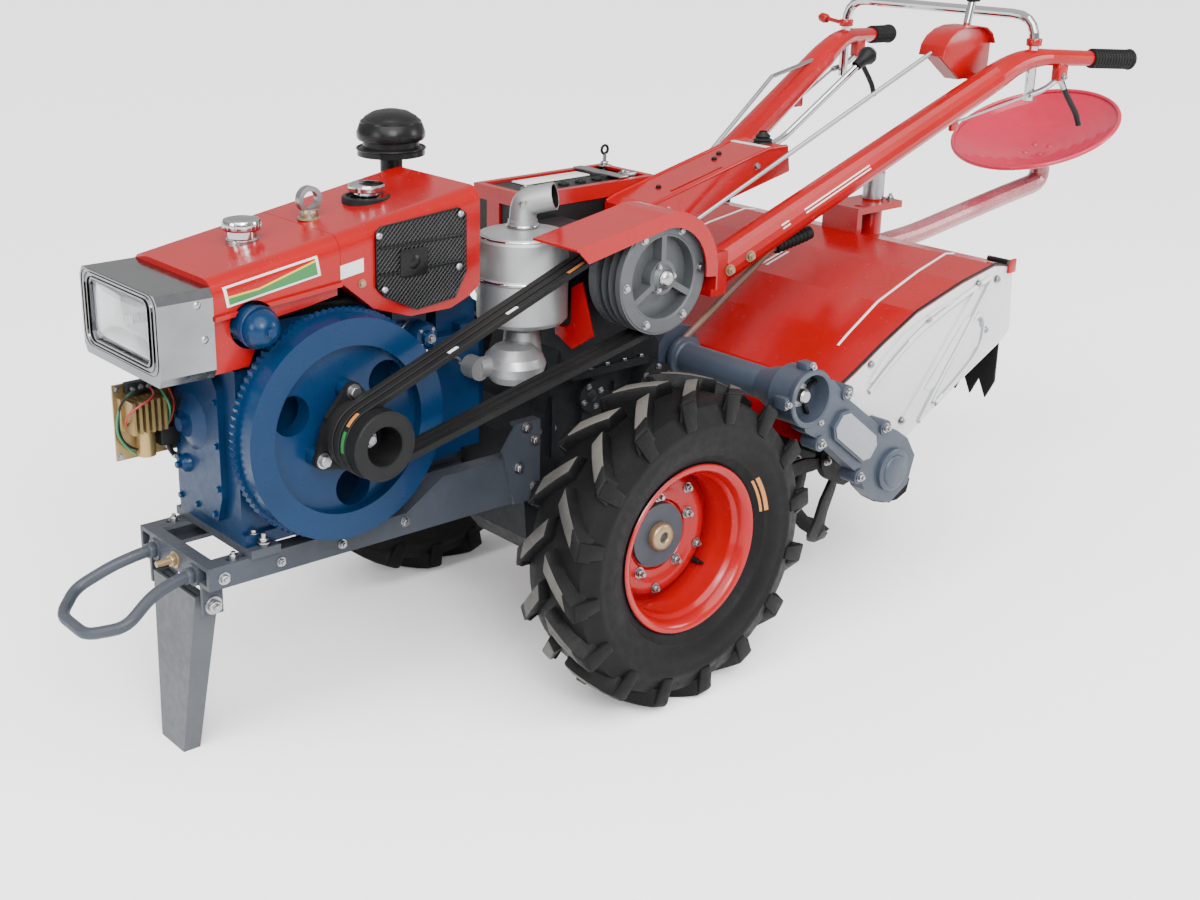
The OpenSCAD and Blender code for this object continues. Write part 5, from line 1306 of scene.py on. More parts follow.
@dataclass
class Exhaust:
    """Outlet elbow, seams and flange bolts of the silencer.

    Attributes:
        can: Middle of the silencer in x and y.
        radius: Silencer radius.
        neck: Height where the elbow leaves the silencer.
        swing: Turn of the elbow's mouth from straight ahead, in degrees.
        route: Middle line of the elbow from the neck.
        aim: Direction of the elbow's mouth before it is turned.
        seams: Each seam's height, growth over the silencer's radius and thickness.
    """

    can: Pair = (112.0, 92.0)
    radius: float = 88.0
    neck: float = 900.0
    swing: float = -54.0
    route: Triples = ((0, 0, -6), (0, 0, 24), (12, 0, 38), (62, 0, 48))
    aim: Triple = (0.97, 0.0, 0.24)
    seams: Triples = ((793, 1.5, 3.2), (872, -6.0, 3.0))

    def build(self) -> None:
        """Makes the elbow with its open mouth, darkened inside by a black disc and sleeve that are painted
        shade, and the silencer's seams.
        """
        pipe = Stock(SILVER_HEAT, BLACK_PAINT)
        swing = stand(*self.can, self.neck, UP, self.swing)
        pipe.put(run(self.route, 24.0, hollow=-2.5), swing)
        # Black disc and black sleeve inside the mouth: painted shade of the pipe's inside.
        pipe.put(drum(21.8, 4.0), swing @ stand(38, 0, 42.6, self.aim), 1)
        pipe.put(turned([(21.4, 0), (21.4, 18)], 36, wall=0.4), swing @ stand(44, 0, 44, self.aim), 1)
        pipe.make("exhaust_elbow", Body.CHASSIS, "exhaust_pipes")
        trim = Stock(CHROME, PLAIN_STEEL)
        trim.put(hoop(29.0, 3.0), stand(*self.can, self.neck - 10))
        for height, growth, thick in self.seams:
            trim.put(hoop(self.radius + growth, thick, 64), stand(*self.can, height))
        trim.repeat(bolt(6.5, 5), ring(stand(*self.can, 742), 3, 52.0, -36.0, 20.0), 1)
        trim.make("silencer_seams", Body.CHASSIS)


@dataclass
class Engine:
    """Bolts, plugs, pipes and bands on the engine and the air cleaner.

    Attributes:
        front: Front face of the cover.
        cover: Bolts of the front cover in y and z.
        boss: Domed boss on the cover in y and z.
        feet: Bolts through the bed in x and y.
        sump: Sump bolts along the engine.
        crown: Nuts across the cylinder head.
        side_plate: Middle of the right side's cover plate in x and z.
        starter: End of the starter in x and z.
        saddle_at: Middle of the tank's saddle in x.
        pump: Fuel pump in x, y and z.
        pump_body: Profile of the fuel pump.
        fuel_pipes: Routes of the steel fuel pipes.
        stack: Air cleaner middle in x and y.
        bands_at: Heights of the air cleaner's clamp bands.
        band: Profile of a clamp band.
        chimney: Middle of the air cleaner's cap across the machine.
        dome: Profile of that cap.
    """

    front: float = 769.0
    cover: Pairs = ((-84, 446), (-84, 520), (-84, 600), (-84, 668), (-62, 706), (-10, 708), (36, 706),
                    (58, 660), (58, 580), (58, 500), (40, 448), (-24, 446))
    boss: Pair = (-55, 517)
    feet: Pairs = ((725, 129), (555, 129))
    sump: tuple[float, ...] = (470, 560, 660, 735)
    crown: Pair = (-34, 34)
    side_plate: Pair = (600, 560)
    starter: Pair = (733, 812)
    saddle_at: float = 566.0
    pump: Triple = (345, 73, 712)
    pump_body: Pairs = ((27, 0), (27, 22), (23, 28), (14, 30), (14, 40), (10, 42), (0, 42))
    fuel_pipes: tuple[Triples, ...] = (
        ((345, 96, 690), (345, 104, 672), (320, 108, 664), (280, 100, 664), (262, 95, 650), (262, 88, 640)),
        ((372, 76, 740), (392, 92, 742), (404, 92, 726), (404, 80, 712), (404, 72, 700)))
    stack: Pair = (234.0, -208.0)
    bands_at: Pair = (772, 900)
    band: Pairs = ((60.5, -8), (62, -6), (62, 6), (60.5, 8))
    chimney: float = -164.0
    dome: Pairs = ((0, 1089), (16, 1088), (34, 1084), (50, 1075), (61, 1062), (67, 1046), (67, 1036),
                   (64, 1031), (58, 1029))

    def build(self) -> None:
        """Makes the engine trim."""
        self.bolts()
        self.saddle()
        self.pipes()
        self.bands()

    def bolts(self) -> None:
        """Makes the engine's bolts, the boss, the starter's end and the right side's cover plate."""
        stock = Stock(ENGINE_SHEET, PLAIN_STEEL)
        stock.repeat(bolt(6.0), [stand(self.front - 0.5, y, z, FRONT) for y, z in self.cover])
        stock.put(turned([(0, 17), (9, 15), (15, 9), (18, 0)], 28), stand(self.front, *self.boss, FRONT))
        stock.put(bolt(7.0), stand(self.front + 16, *self.boss, FRONT))
        stock.repeat(bolt(9.5, 8.0), both(*(stand(x, y, 412) for x, y in self.feet)), 1)
        stock.repeat(bolt(6.5), both(*(stand(x, 113, 426.5) for x in self.sump)), 1)
        nut = turned([(0, 15), (5, 14), (9, 9), (10, 0)], 6)
        stock.repeat(nut, [stand(254, y, 768.5) for y in self.crown], 1)
        stock.repeat(bolt(9.0), spots([self.starter], 196))
        stock.repeat(turned([(35, 0), (37, 2), (37, 12), (35, 14)], 40), spots([self.starter], 150))
        stock.put(cutout(rounded(190, 210, 26, middle=self.side_plate), 6.0, 1.5), on_side(-108.0))
        stock.repeat(bolt(6.0), spots(rounded(166, 186, 14, 1, self.side_plate), -114, RIGHT), 1)
        stock.make("engine_bolts", Body.CHASSIS)

    def saddle(self) -> None:
        """Makes the ribbed saddle between the engine block and the tank, under a black plate that is painted
        shade below the tank.
        """
        stock = Stock(ENGINE_BLUE, BLACK_PAINT)
        stock.put(block((236, 190, 74), 6.0), shift(self.saddle_at, 0, 762))
        stock.repeat(block((9, 10, 62), 2.0), both(*(shift(468 + 39 * i, 96, 758) for i in range(6))))
        # Black plate on top of the saddle: painted shade in the gap below the tank.
        stock.put(block((250, 204, 16), 3.0), shift(self.saddle_at, 0, 808), 1)
        stock.make("tank_saddle", Body.CHASSIS)

    def pipes(self) -> None:
        """Makes the fuel pump and the steel fuel pipes."""
        stock = Stock(ENGINE_SHEET, PLAIN_STEEL)
        pump = stand(*self.pump, LEFT)
        stock.put(turned(self.pump_body, 32), pump)
        stock.put(bolt(7.0), pump @ shift(0, 0, 41), 1)
        stock.repeat(bolt(4.0), ring(pump, 4, 19.0, 26.0, 45.0), 1)
        for route in self.fuel_pipes:
            stock.put(run(route, 3.2), HERE, 1)
        stock.make("fuel_pump", Body.CHASSIS)

    def bands(self) -> None:
        """Makes the clamp bands of the air cleaner and the smooth dome of its cap."""
        stock = Stock(BLACK_PAINT, PLAIN_STEEL)
        x, y = self.stack
        for z in self.bands_at:
            stock.put(turned(self.band, 48), stand(x, y, z))
            stock.put(block((16, 10, 12), 1.5), shift(x + 64, y, z), 1)
        stock.put(hoop(66.0, 2.4, 56), stand(x, self.chimney, 1014))
        stock.put(turned(self.dome, 64), stand(x, self.chimney, 0))
        stock.make("air_cleaner_bands", Body.CHASSIS)


@dataclass
class Panel:
    """Terminal blocks, screws, wires and a clipped loom on the electrical panel.

    Attributes:
        face: Left face of the panel.
        screws: Panel screws in x and z.
        wires: Finish and route of each wire, with y off the panel's face.
        loom: Route of the loom, with y off the panel's face.
        clips: Loom clips in x and z.
    """

    face: float = -108.0
    screws: Pairs = ((872, 536), (872, 662), (772, 662), (772, 536))
    wires: tuple[tuple[int, Triples], ...] = (
        (1, ((786, 22, 660), (776, 30, 640), (774, 24, 606), (786, 20, 584))),
        (2, ((802, 22, 660), (806, 62, 652), (796, 58, 618), (790, 24, 584))),
        (1, ((818, 22, 660), (822, 66, 660), (876, 62, 640), (876, 22, 600), (842, 20, 580))),
        (0, ((834, 22, 660), (846, 46, 668), (884, 34, 652), (880, 12, 590), (866, 12, 556), (846, 14, 548))),
        (2, ((850, 22, 660), (868, 34, 660), (886, 26, 630), (884, 14, 570), (850, 16, 540))))
    loom: Triples = ((786, 14, 552), (780, 10, 530), (766, 4, 516), (752, -4, 500))
    clips: Pairs = ((783, 541), (768, 518))

    def build(self) -> None:
        """Makes the panel trim."""
        stock = Stock(BLACK_PLASTIC, WIRE_RED, WIRE_GREEN, PLAIN_STEEL)
        off = shift(0, self.face, 0)
        stock.put(block((84, 18, 20), 2.0), off @ shift(818, 9, 664))
        stock.put(block((40, 30, 34), 2.5), off @ shift(786, 15, 566))
        stock.repeat(bolt(4.2), [off @ stand(786 + 16 * i, 18, 664, LEFT) for i in range(5)], 3)
        stock.repeat(bolt(5.0), spots(self.screws, self.face), 3)
        for finish, route in self.wires:
            stock.put(run(route, 2.3), off, finish)
        stock.put(run(self.loom, 5.0), off)
        stock.repeat(block((12, 14, 8), 1.5), [off @ shift(x, 6, z) for x, z in self.clips], 3)
        stock.make("panel_loom", Body.CHASSIS)


@dataclass
class BatteryTop:
    """Cell caps, posts, label, strap and tie rod on the battery.

    Attributes:
        top: Top of the battery.
        middle: Middle line of the cell caps across the machine.
        row: First and last cap along the machine.
        caps: How many cell caps.
        cap: Profile of a cell cap.
        posts: The two posts along the machine.
        rod: Tie rod in x and y.
    """

    top: float = 899.0
    middle: float = -120.0
    row: Pair = (-310.0, -80.0)
    caps: int = 6
    cap: Pairs = ((0, 7), (4, 7), (5, 5), (10, 5), (12, 3), (12, 0))
    posts: Pair = (-330, -62)
    rod: Pair = (-372.0, -216.0)

    def build(self) -> None:
        """Makes the battery trim."""
        stock = Stock(BLACK_PLASTIC, PLAIN_STEEL, MARK_WHITE)
        step = (self.row[1] - self.row[0]) / (self.caps - 1)
        stock.repeat(turned(self.cap, 24), [stand(self.row[0] + i * step, self.middle, self.top)
                                            for i in range(self.caps)])
        for x in self.posts:
            stock.put(drum(9, 15), stand(x, -95, self.top), 1)
            stock.put(block((34, 24, 10), 2.0), shift(x, -97, self.top + 7), 1)
            stock.put(bolt(5.0), stand(x + 12, -97, self.top + 12), 1)
        stock.put(block((180, 44, 3), 1.0), shift(-190, -182, self.top + 2), 2)
        stock.put(block((26, 150, 4), 1.2), shift(-300, -149, self.top + 8), 1)
        stock.put(run([(*self.rod, 880), (*self.rod, 930)], 4.0, smooth=False), HERE, 1)
        stock.put(bolt(9.0), stand(*self.rod, self.top + 4), 1)
        stock.put(hoop(9.0, 3.2, 28), stand(*self.rod, 938, LEFT))
        stock.put(block((30, 18, 3), 1.0), shift(-368, -212, self.top + 5), 1)
        stock.make("battery_trim", Body.CHASSIS)


@dataclass
class BoxTrim:
    """Bolts, plugs and pins on the gearbox and the frame.

    Attributes:
        covers: Round covers, each with its x, face, z, bolt circle radius, bolt count and bolt size.
        lid: Lid bolts along the gearbox.
        walls: Bolts on the gearbox walls in x and z.
        shift_pin: Route of the shift shaft's pin.
        rails: Rail bolts in x and z, with their size.
        brackets: Bolts of the rear brackets in x and z.
        bumper: Bumper nuts across the machine and in height.
        bed: Bed bolts along the machine.
    """

    covers: tuple[tuple[float, float, float, float, int, float], ...] = ((-210, 138, 522, 37, 6, 5.5),
                                                                         (-49, 121, 522, 24, 4, 5.0))
    lid: tuple[float, ...] = (-150, -104, -58, -12, 22)
    walls: Pairs = ((40, 470), (78, 470), (-120, 452), (-170, 452), (96, 432))
    shift_pin: Triples = ((24, 118, 700), (52, 122, 700), (66, 128, 708))
    rails: Triples = ((806, 364, 9), (690, 364, 7), (560, 364, 7), (420, 372, 8))
    brackets: Pairs = ((112, 372), (112, 470), (152, 420), (134, 500))
    bumper: Pair = (71, 359.3)
    bed: Pair = (776, 742)

    def build(self) -> None:
        """Makes the trim of the gearbox and of the frame."""
        self.box()
        self.frame()

    def box(self) -> None:
        """Makes the gearbox bolts."""
        stock = Stock(DARK_CAST, PLAIN_STEEL)
        for x, y, z, radius, count, size in self.covers:
            place = stand(x, y, z, LEFT)
            stock.put(turned([(0, 5), (radius - 16, 4), (radius - 10, 0)], 32), place)
            stock.repeat(bolt(size), ring(place, count, radius, 0.0, 22.9183), 1)
        stock.repeat(bolt(5.5), [stand(x, y, 595.5) for x in self.lid for y in (153, -96)], 1)
        stock.repeat(bolt(5.0), both(*ring(stand(0, 113.5, 318, LEFT), 8, 63.0)), 1)
        stock.repeat(bolt(6.5), both(*spots(self.walls, 104)), 1)
        stock.put(run(self.shift_pin, 5.0), HERE, 1)
        stock.make("gearbox_bolts", Body.CHASSIS)

    def frame(self) -> None:
        """Makes the bolts of the rails, the bumper nuts and the stand's pivot heads."""
        stock = Stock(PLAIN_STEEL, TAN_ZINC, FRAME_SLATE)
        stock.repeat(bolt(16.0), both(stand(836, *self.bumper, FRONT), stand(810, *self.bumper, REAR)), 2)
        stock.put(bolt(12.0, 26.0), stand(836, 6, 366, FRONT), 1)
        for x, z, size in self.rails:
            stock.repeat(bolt(size, 3.0), both(stand(x, 127, z, LEFT)))
        stock.repeat(bolt(9.0, 4.0), both(*spots(self.brackets, 135)))
        stock.repeat(bolt(13.0, 6.0), both(stand(815, 99, 305, LEFT)))
        stock.repeat(bolt(8.0, 5.0), both(*(stand(x, 109, 388) for x in self.bed)))
        stock.make("frame_bolts", Body.CHASSIS)


@dataclass
class Handles:
    """Stripes, grips, console trim, levers and bolts on the handles.

    Attributes:
        root: Root of the left handle.
        bend: Bend of the left handle.
        end: Tip of the left grip.
        thick: Handle radius at the root and at the bend.
        dashes: Start and end of each stripe, in shares of the straight run.
        arch: Bent sheet over the lever quadrant in x and z.
        knob: Profile of a lever knob.
        collar: Profile of the collars at the hoop's feet.
        wing: Profile of the wing clamp's knob.
        blade: Route of the left squeeze lever.
        joint: Lower end of the left lever's rod.
        bead: Route of the console's left edge bead.
        slope: Direction that the console's top faces.
        boot: Profile of the gear lever's rubber boot.
        side_screws: Screws on the console's sides in x and z.
    """

    root: Triple = (-371.0, 110.0, 724.0)
    bend: Triple = (-1190.0, 262.0, 1123.0)
    end: Triple = (-1471.0, 345.0, 1104.0)
    thick: Pair = (39.0, 28.8)
    dashes: Pairs = ((0.27, 0.47), (0.2, 0.222))
    arch: Pairs = ((-962, 1134), (-968, 1156), (-984, 1174), (-1010, 1187), (-1042, 1193), (-1080, 1193),
                   (-1112, 1188), (-1134, 1174), (-1146, 1152))
    knob: Pairs = ((9.6, -44), (12, -42), (12.5, -28), (14, -18), (20.7, -5), (20.7, 5),
                   (15, 15), (7, 20), (0, 20.8))
    collar: Pairs = ((11.5, 0), (16, 0), (17, 1.5), (17, 14), (16, 15.5), (11.5, 15.5))
    wing: Pairs = ((0, -14), (9, -13), (12, -6), (11, 8), (6, 14), (0, 15))
    blade: Triples = ((-1189, 283, 1041), (-1241, 287, 1047), (-1290, 290, 1076), (-1308, 291, 1046),
                      (-1342, 293, 1008), (-1366, 296, 980), (-1374, 298, 958))
    joint: Triple = (-1004, 226, 990)
    bead: Triples = ((-236, 58, 866), (-260, 58, 876), (-594, 58, 953), (-652, 58, 953))
    slope: Triple = (0.224, 0.0, 0.975)
    boot: Pairs = ((22, 0), (19, 4), (21, 8), (15, 12), (17, 16), (10, 22), (8.5, 26))
    side_screws: Pairs = ((-300, 858), (-560, 920))

    def build(self) -> None:
        """Makes the trim of both handles and the console."""
        self.stripes()
        self.rubber()
        self.console()
        self.levers()
        self.lever_tops()

    def lever_tops(self) -> None:
        """Makes the bent sheet over the quadrant, the bright lever, knobs, collars and the wing clamp."""
        stock = Stock(RED_PAINT, CHROME, BLACK_PLASTIC)
        inner = [(-1055 + 0.96 * (x + 1055), 1120 + 0.96 * (z - 1120)) for x, z in self.arch]
        stock.put(cutout([*self.arch, *inner[::-1]], 66.0, 0.8), on_side(213))
        stock.put(cutout([*inner, (-1140, 1079), (-1042, 1079)], 4.0, 1.0), on_side(202))
        stock.put(run([(-1080.9, 180, 1196), (-1092.2, 180, 1244)], 8.8, smooth=False), HERE, 1)
        stock.put(turned(self.knob[3:], 32), stand(-1096, 180, 1260), 2)
        stock.put(turned(self.knob, 32), stand(-971.2, 0, 1116.2, (-0.88, 0.0, 0.47)), 2)
        stock.repeat(turned(self.collar, 32), both(stand(-1210, 268, 1146)))
        stock.put(run([(-1210, -284, 1153), (-1210, -312, 1157), (-1210, -336, 1160)], 5.0))
        stock.put(turned(self.wing, 28), stand(-1210, -340, 1160, (0.0, -0.98, 0.2)))
        stock.make("lever_tops", Body.CHASSIS)

    def levers(self) -> None:
        """Makes the curved squeeze levers under the grips, with their brackets and taut rods."""
        stock = Stock(PLAIN_STEEL, RED_PAINT, BLACK_PAINT)
        x, y, z = self.joint
        for side in both(HERE):
            stock.put(run(self.blade[:4], 6.5), side)
            stock.put(run(self.blade[2:], 6.5), side, 2)
            stock.put(block((34, 22, 46), 4.0), side @ shift(-1288, 290, 1088), 1)
            stock.put(run([self.blade[0], self.joint], 3.0, smooth=False), side)
            stock.put(block((26, 10, 44), 3.0), side @ shift(x, y, z + 4), 1)
        stock.repeat(bolt(7.0, 3.0), both(stand(-1288, 300, 1074, LEFT)))
        stock.make("squeeze_levers", Body.CHASSIS, "steering_levers")

    def stripe(self, share: Pair, angle: float, width: float) -> Shape:
        """A stripe laid along the left handle.

        Args:
            share: Where it starts and ends, in shares of the straight run.
            angle: Where it lies round the handle, in degrees, 180 on its left and 90 on top.
            width: Width in degrees.

        Returns:
            The stripe in place.
        """
        along = Vector(self.bend) - Vector(self.root)
        root, bend = self.thick
        profile = [(root + s * (bend - root) + 0.5, s * along.length) for s in share]
        bm = turned(profile, 4, sweep=width, wall=0.5)
        bmesh.ops.transform(bm, matrix=stand(*self.root, tuple(along), angle), verts=bm.verts[:])
        return bm

    def stripes(self) -> None:
        """Makes the double white stripes with their short dashes, and the bolts at the handles' roots."""
        stock = Stock(MARK_WHITE, TAN_ZINC)
        for share in self.dashes:
            for angle in (156, 168):
                stock.repeat(self.stripe(share, angle, 5.0), both(HERE))
        along = (Vector(self.bend) - Vector(self.root)).normalized()
        for share in (0.09, 0.03):
            spot = Vector(self.root) + along * share * 924 + Vector((0, 38, 0))
            stock.repeat(bolt(9.0, 4.0), both(stand(*spot, (0.18, 0.98, 0.0))), 1)
        stock.make("handle_stripes", Body.CHASSIS)

    def rubber(self) -> None:
        """Makes the ribs and end flanges of the rubber grips."""
        stock = Stock(GRIP_RUBBER)
        tip = Vector(self.end)
        back = (Vector(self.bend) - tip).normalized()
        ribs = [stand(*(tip + back * (4 + 8.0 * i)), tuple(back)) for i in range(14)]
        stock.repeat(hoop(20.2, 2.2, 28, 8), both(*ribs))
        flange = turned([(0, 0), (19, 0), (23, 2), (24, 5), (21, 8)], 28)
        stock.repeat(flange, both(stand(*(tip - back * 4.0), tuple(back))))
        stock.make("grip_ribs", Body.CHASSIS)

    def console(self) -> None:
        """Makes the console's edge beads, gate slot, a white band at the rear edge that is a painted
        highlight, rubber boot and screws.
        """
        stock = Stock(RED_PAINT, BLACK_PLASTIC, MARK_WHITE, PLAIN_STEEL)
        stock.repeat(run(self.bead, 4.0, smooth=False), both(HERE))
        stock.put(block((150, 5, 1.6), 0.5), stand(-400, 40, 909.8, self.slope, 90))
        # White band across the console's rear top edge: a painted highlight of the lit edge.
        stock.put(block((14, 112, 2.0), 0.6), shift(-604, 0, 954.5), 2)
        for x, y in ((-500, -8), (-528, -22), (-330, 0)):
            stock.put(bolt(5.5), stand(x, y, 876 + (-260 - x) * 0.2299, self.slope), 1)
        stock.put(turned(self.boot, 32), stand(-640, 0, 953), 1)
        stock.repeat(bolt(6.0), both(*spots(self.side_screws, 60)), 3)
        stock.make("console_trim", Body.CHASSIS)


@dataclass
class Tiller:
    """Stripes, bolts, ribs, flap, plates and blades of the rotary tiller.

    Attributes:
        half: Outer face of a side plate.
        hub: Rotor shaft in x and z.
        drive: Cross tube in x and z.
        case: Outer face of the chain case's lugs.
        tip: Radius of the tine tips.
        spine: Back of a blade in shares of the tip radius and degrees, from its root.
        edge: Cutting edge of a blade in the same way, back to its root.
        flanges: Flanges on the rotor.
        rotor_half: Outermost flange from the machine's middle.
        turns: Turn of each added blade on a flange, in degrees, and the side that it curls to.
        arc: Route of the left white line over the hood.
        labels: Blank labels on the hood, each with its place across, length and width.
        plate_bolts: Bolts of a side plate in x and z.
        ribs: Pressed ribs of a side plate in x and z.
        brow: Dark seam along a side plate's top in x and z.
        flap: Half width of the flap, its top, the height between its teeth and at their tips.
        teeth: Corners along the flap's toothed edge.
        window: Plate on the chain case, in shares of the case's length.
        hub_cap: Profile of the rotor shaft's cap.
        bell_shaft: Profile of the shaft in the drive bell.
        bell_lip: Profile of the bell's lip.
        neck: Profile of the cross tube's neck.
        sleeve: Profile of the tail post's sleeve.
        grip: Root and tip of the tiller lever's grip.
    """

    half: float = 430.0
    hub: Pair = (-572.0, 348.0)
    drive: Pair = (-306.0, 556.0)
    case: float = 472.0
    tip: float = 225.0
    spine: Pairs = ((0.16, 18), (0.3, 10), (0.5, 6), (0.7, 8), (0.8, 11), (0.88, 15), (0.95, 21), (0.985, 28),
                    (0.97, 36))
    edge: Pairs = ((0.87, 33), (0.8, 25), (0.7, 20), (0.6, 20), (0.4, 26), (0.24, 34))
    flanges: int = 8
    rotor_half: float = 330.0
    turns: Pairs = ((68, 1), (128, -1), (248, -1), (308, 1))
    arc: Triples = ((-529, 341, 591), (-560, 338, 608.5), (-663, 327, 658.5), (-808, 312, 698.5),
                    (-917, 300, 719.5), (-950, 297, 715))
    labels: Triples = ((-96, 60, 70), (-30, 6, 74), (-16, 6, 74))
    plate_bolts: Pairs = ((-525, 575), (-700, 640), (-860, 690), (-925, 690), (-900, 582), (-640, 430))
    ribs: tuple[Pairs, ...] = (
        ((-525, 515), (-617, 589), (-749, 650), (-900, 695)),
        ((-698, 414), (-759, 499), (-831, 589), (-901, 687)),
        ((-738, 450), (-800, 536), (-862, 620), (-886, 612), (-892, 590), (-884, 534), (-820, 486),
         (-750, 444)))
    brow: Pairs = ((-434, 545.5), (-480, 568.5), (-560, 612.5), (-663, 662.5), (-808, 702.5), (-917, 723.5),
                   (-983, 713.5))
    flap: tuple[float, float, float, float] = (404.0, 584.0, 438.0, 396.0)
    teeth: int = 41
    window: Pairs = ((0.35, 0.085), (0.67, 0.085), (0.72, 0.045), (0.72, -0.045), (0.67, -0.085),
                     (0.35, -0.085), (0.3, -0.045), (0.3, 0.045))
    hub_cap: Pairs = ((0, 7), (30, 7), (33, 5), (34, 2), (42, 2), (45, 0), (45, -4))
    bell_shaft: Pairs = ((0, 22), (11, 22), (14, 19), (14, 6), (24, 5), (24, 0))
    bell_lip: Pairs = ((48, 37), (50, 38.5), (57, 38.5), (59, 36), (59, 26), (58, 24))
    neck: Pairs = ((33, 0), (44, 0), (46, 3), (46, 12), (44, 15), (36, 16), (33, 20))
    sleeve: Pairs = ((24.6, 0), (24.6, 61), (23, 63), (19, 63), (18, 52), (0, 52))
    grip: tuple[Triple, Triple] = ((-566, 118.7, 753.7), (-662, 130.2, 774.8))

    def build(self) -> None:
        """Makes the tiller trim."""
        self.stripes()
        self.plates()
        self.fringe()
        self.chain()
        self.tail()
        self.blades()

    def blade(self) -> Shape:
        """One sickle blade that curls to the side at its tip.

        Returns:
            The blade, lying flat about the shaft.
        """
        outline = [(s * self.tip * math.cos(math.radians(a)), s * self.tip * math.sin(math.radians(a)))
                   for s, a in self.spine + self.edge]
        bm = cutout(outline, 9.0, 1.2)
        for v in bm.verts:
            over = max(v.co.to_2d().length / self.tip - 0.68, 0.0) / 0.3
            v.co.z += 40.0 * over ** 1.5 - 4.5
        return bm

    def blades(self) -> None:
        """Makes the four blades between the CAD's two and the bolts on each flange of the rotor."""
        stock = Stock(TINE_STEEL, PLAIN_STEEL)
        for i in range(self.flanges):
            across = self.rotor_half * (2 * i / (self.flanges - 1) - 1)
            flange = stand(self.hub[0], across, self.hub[1], LEFT, 50 * i)
            for turn, curl in self.turns:
                stock.put(self.blade(), flange @ spin(turn) @ Matrix.Scale(curl, 4, UP))
            stock.repeat(bolt(8.0, 3.0), ring(flange, 4, 50.0, 9.0, 20.0), 1)
        stock.make("rotor_blades", Body.ROTOR)

    def stripes(self) -> None:
        """Makes the white lines and blank labels on the hood."""
        stock = Stock(MARK_WHITE)
        stock.repeat(run(self.arc, 4.2, smooth=False), both(HERE))
        for y, long, wide in self.labels:
            stock.put(block((long, wide, 0.8), 0.3), stand(-728, y, 679.4, (0.266, 0.0, 0.964)))
        stock.make("tiller_stripes", Body.CHASSIS)

    def plates(self) -> None:
        """Makes the bolts, ribs and seams of the side plates, the corner pins and the flap's strip. Each
        white rib lies on a wider grey bead that is painted shade beside the rib.
        """
        stock = Stock(PLAIN_STEEL, BLACK_PAINT, RED_PAINT, WHITE_PAINT, PALE_PLATE_AND_SHADE)
        stock.repeat(bolt(7.0, 3.0), both(*spots(self.plate_bolts, self.half)))
        for side in both(HERE):
            stock.put(run([(-952, 386, 724), (-952, 438, 724)], 6.0, smooth=False), side, 1)
            stock.put(block((26, 6, 30), 2.0), side @ shift(-972, 433, 712), 2)
        for rib in self.ribs:
            for side in both(HERE):
                # The wider grey bead under each white rib is painted shade that the pressed rib casts on the
                # plate.
                stock.put(run([(x, 427.0, z) for x, z in rib], 8.5), side, 4)
                stock.put(run([(x - 2.0, 429.8, z + 2.0) for x, z in rib], 6.2), side, 3)
        stock.repeat(run([(x, 428.5, z) for x, z in self.brow], 3.0, smooth=False), both(HERE), 1)
        stock.put(block((5, 800, 24), 1.5), shift(-1002.5, 0, 574), 1)
        stock.repeat(bolt(6.0), [stand(-1005, -360 + 120 * i, 574, REAR) for i in range(7)])
        stock.make("tiller_bolts", Body.CHASSIS)

    def fringe(self) -> None:
        """Makes the rubber flap with its toothed lower edge."""
        wide, top, notch, tooth = self.flap
        step = 2 * wide / (self.teeth - 1)
        edge = [(wide - step * i, tooth if i % 2 else notch) for i in range(self.teeth)]
        stock = Stock(FLAP_RUBBER)
        turn = Matrix(((0, 0, 1, -1000), (1, 0, 0, 0), (0, 1, 0, 0), (0, 0, 0, 1)))
        stock.put(cutout([(-wide, top), (wide, top), *edge], 6.0, 0.8), turn)
        stock.make("flap_fringe", Body.CHASSIS, "rear_flap")

    def along(self, share: float, side: float) -> Pair:
        """Point in x and z a share of the way down the chain case, and a share of its length to the side."""
        run_x, run_z = self.hub[0] - self.drive[0], self.hub[1] - self.drive[1]
        return (self.drive[0] + share * run_x + side * run_z, self.drive[1] + share * run_z - side * run_x)

    def chain(self) -> None:
        """Makes the chain case bolts, its plate, and the inside of the drive bell."""
        stock = Stock(SLATE_CAST, PLAIN_STEEL, DARK_CAST, PALE_PLATE_AND_SHADE)
        corners = [self.along(share, side) for share in (0.26, 0.74) for side in (-0.17, 0.17)]
        stock.repeat(bolt(8.0, 4.0), spots(corners, self.case), 1)
        stock.put(cutout([self.along(*w) for w in self.window], 2.5, 0.8), on_side(478.5), 3)
        stock.repeat(turned(self.hub_cap, 48), spots([self.hub], 476))
        bell = stand(self.drive[0], 434, self.drive[1], LEFT)
        stock.put(turned(self.bell_shaft, 32), bell, 1)
        stock.repeat(block((26, 6, 12), 1.5), ring(bell, 4, 35.0, 6.0, 28.6479), 2)
        stock.put(turned(self.bell_lip, 48), bell)
        for turn in (90, 180, 300):
            ear = bell @ spin(turn)
            stock.put(block((18, 26, 30), 3.0), ear @ shift(62, 0, 16))
            stock.put(bolt(7.0, 3.0), ear @ shift(64, 0, 31), 1)
        stock.repeat(turned(self.neck, 40), spots([self.drive], 112))
        stock.make("chain_case_trim", Body.CHASSIS)

    def tail(self) -> None:
        """Makes the bright sleeve of the tail post, its bolts and the lever's ribbed rubber grip."""
        stock = Stock(PLAIN_STEEL, GRIP_RUBBER)
        stock.put(turned(self.sleeve, 40), stand(-1030, 0, 784))
        stock.repeat(bolt(8.0, 6.0), both(stand(-1062, 26, 780)))
        stock.put(run(self.grip, 15.0, smooth=False), HERE, 1)
        back = Vector((-96, 11.5, 21.1)).normalized()
        ribs = [stand(*(Vector((-572, 119.4, 755)) + back * 11.0 * i), tuple(back)) for i in range(8)]
        stock.repeat(hoop(14.6, 1.6, 24, 8), ribs, 1)
        stock.make("tail_sleeve", Body.CHASSIS)


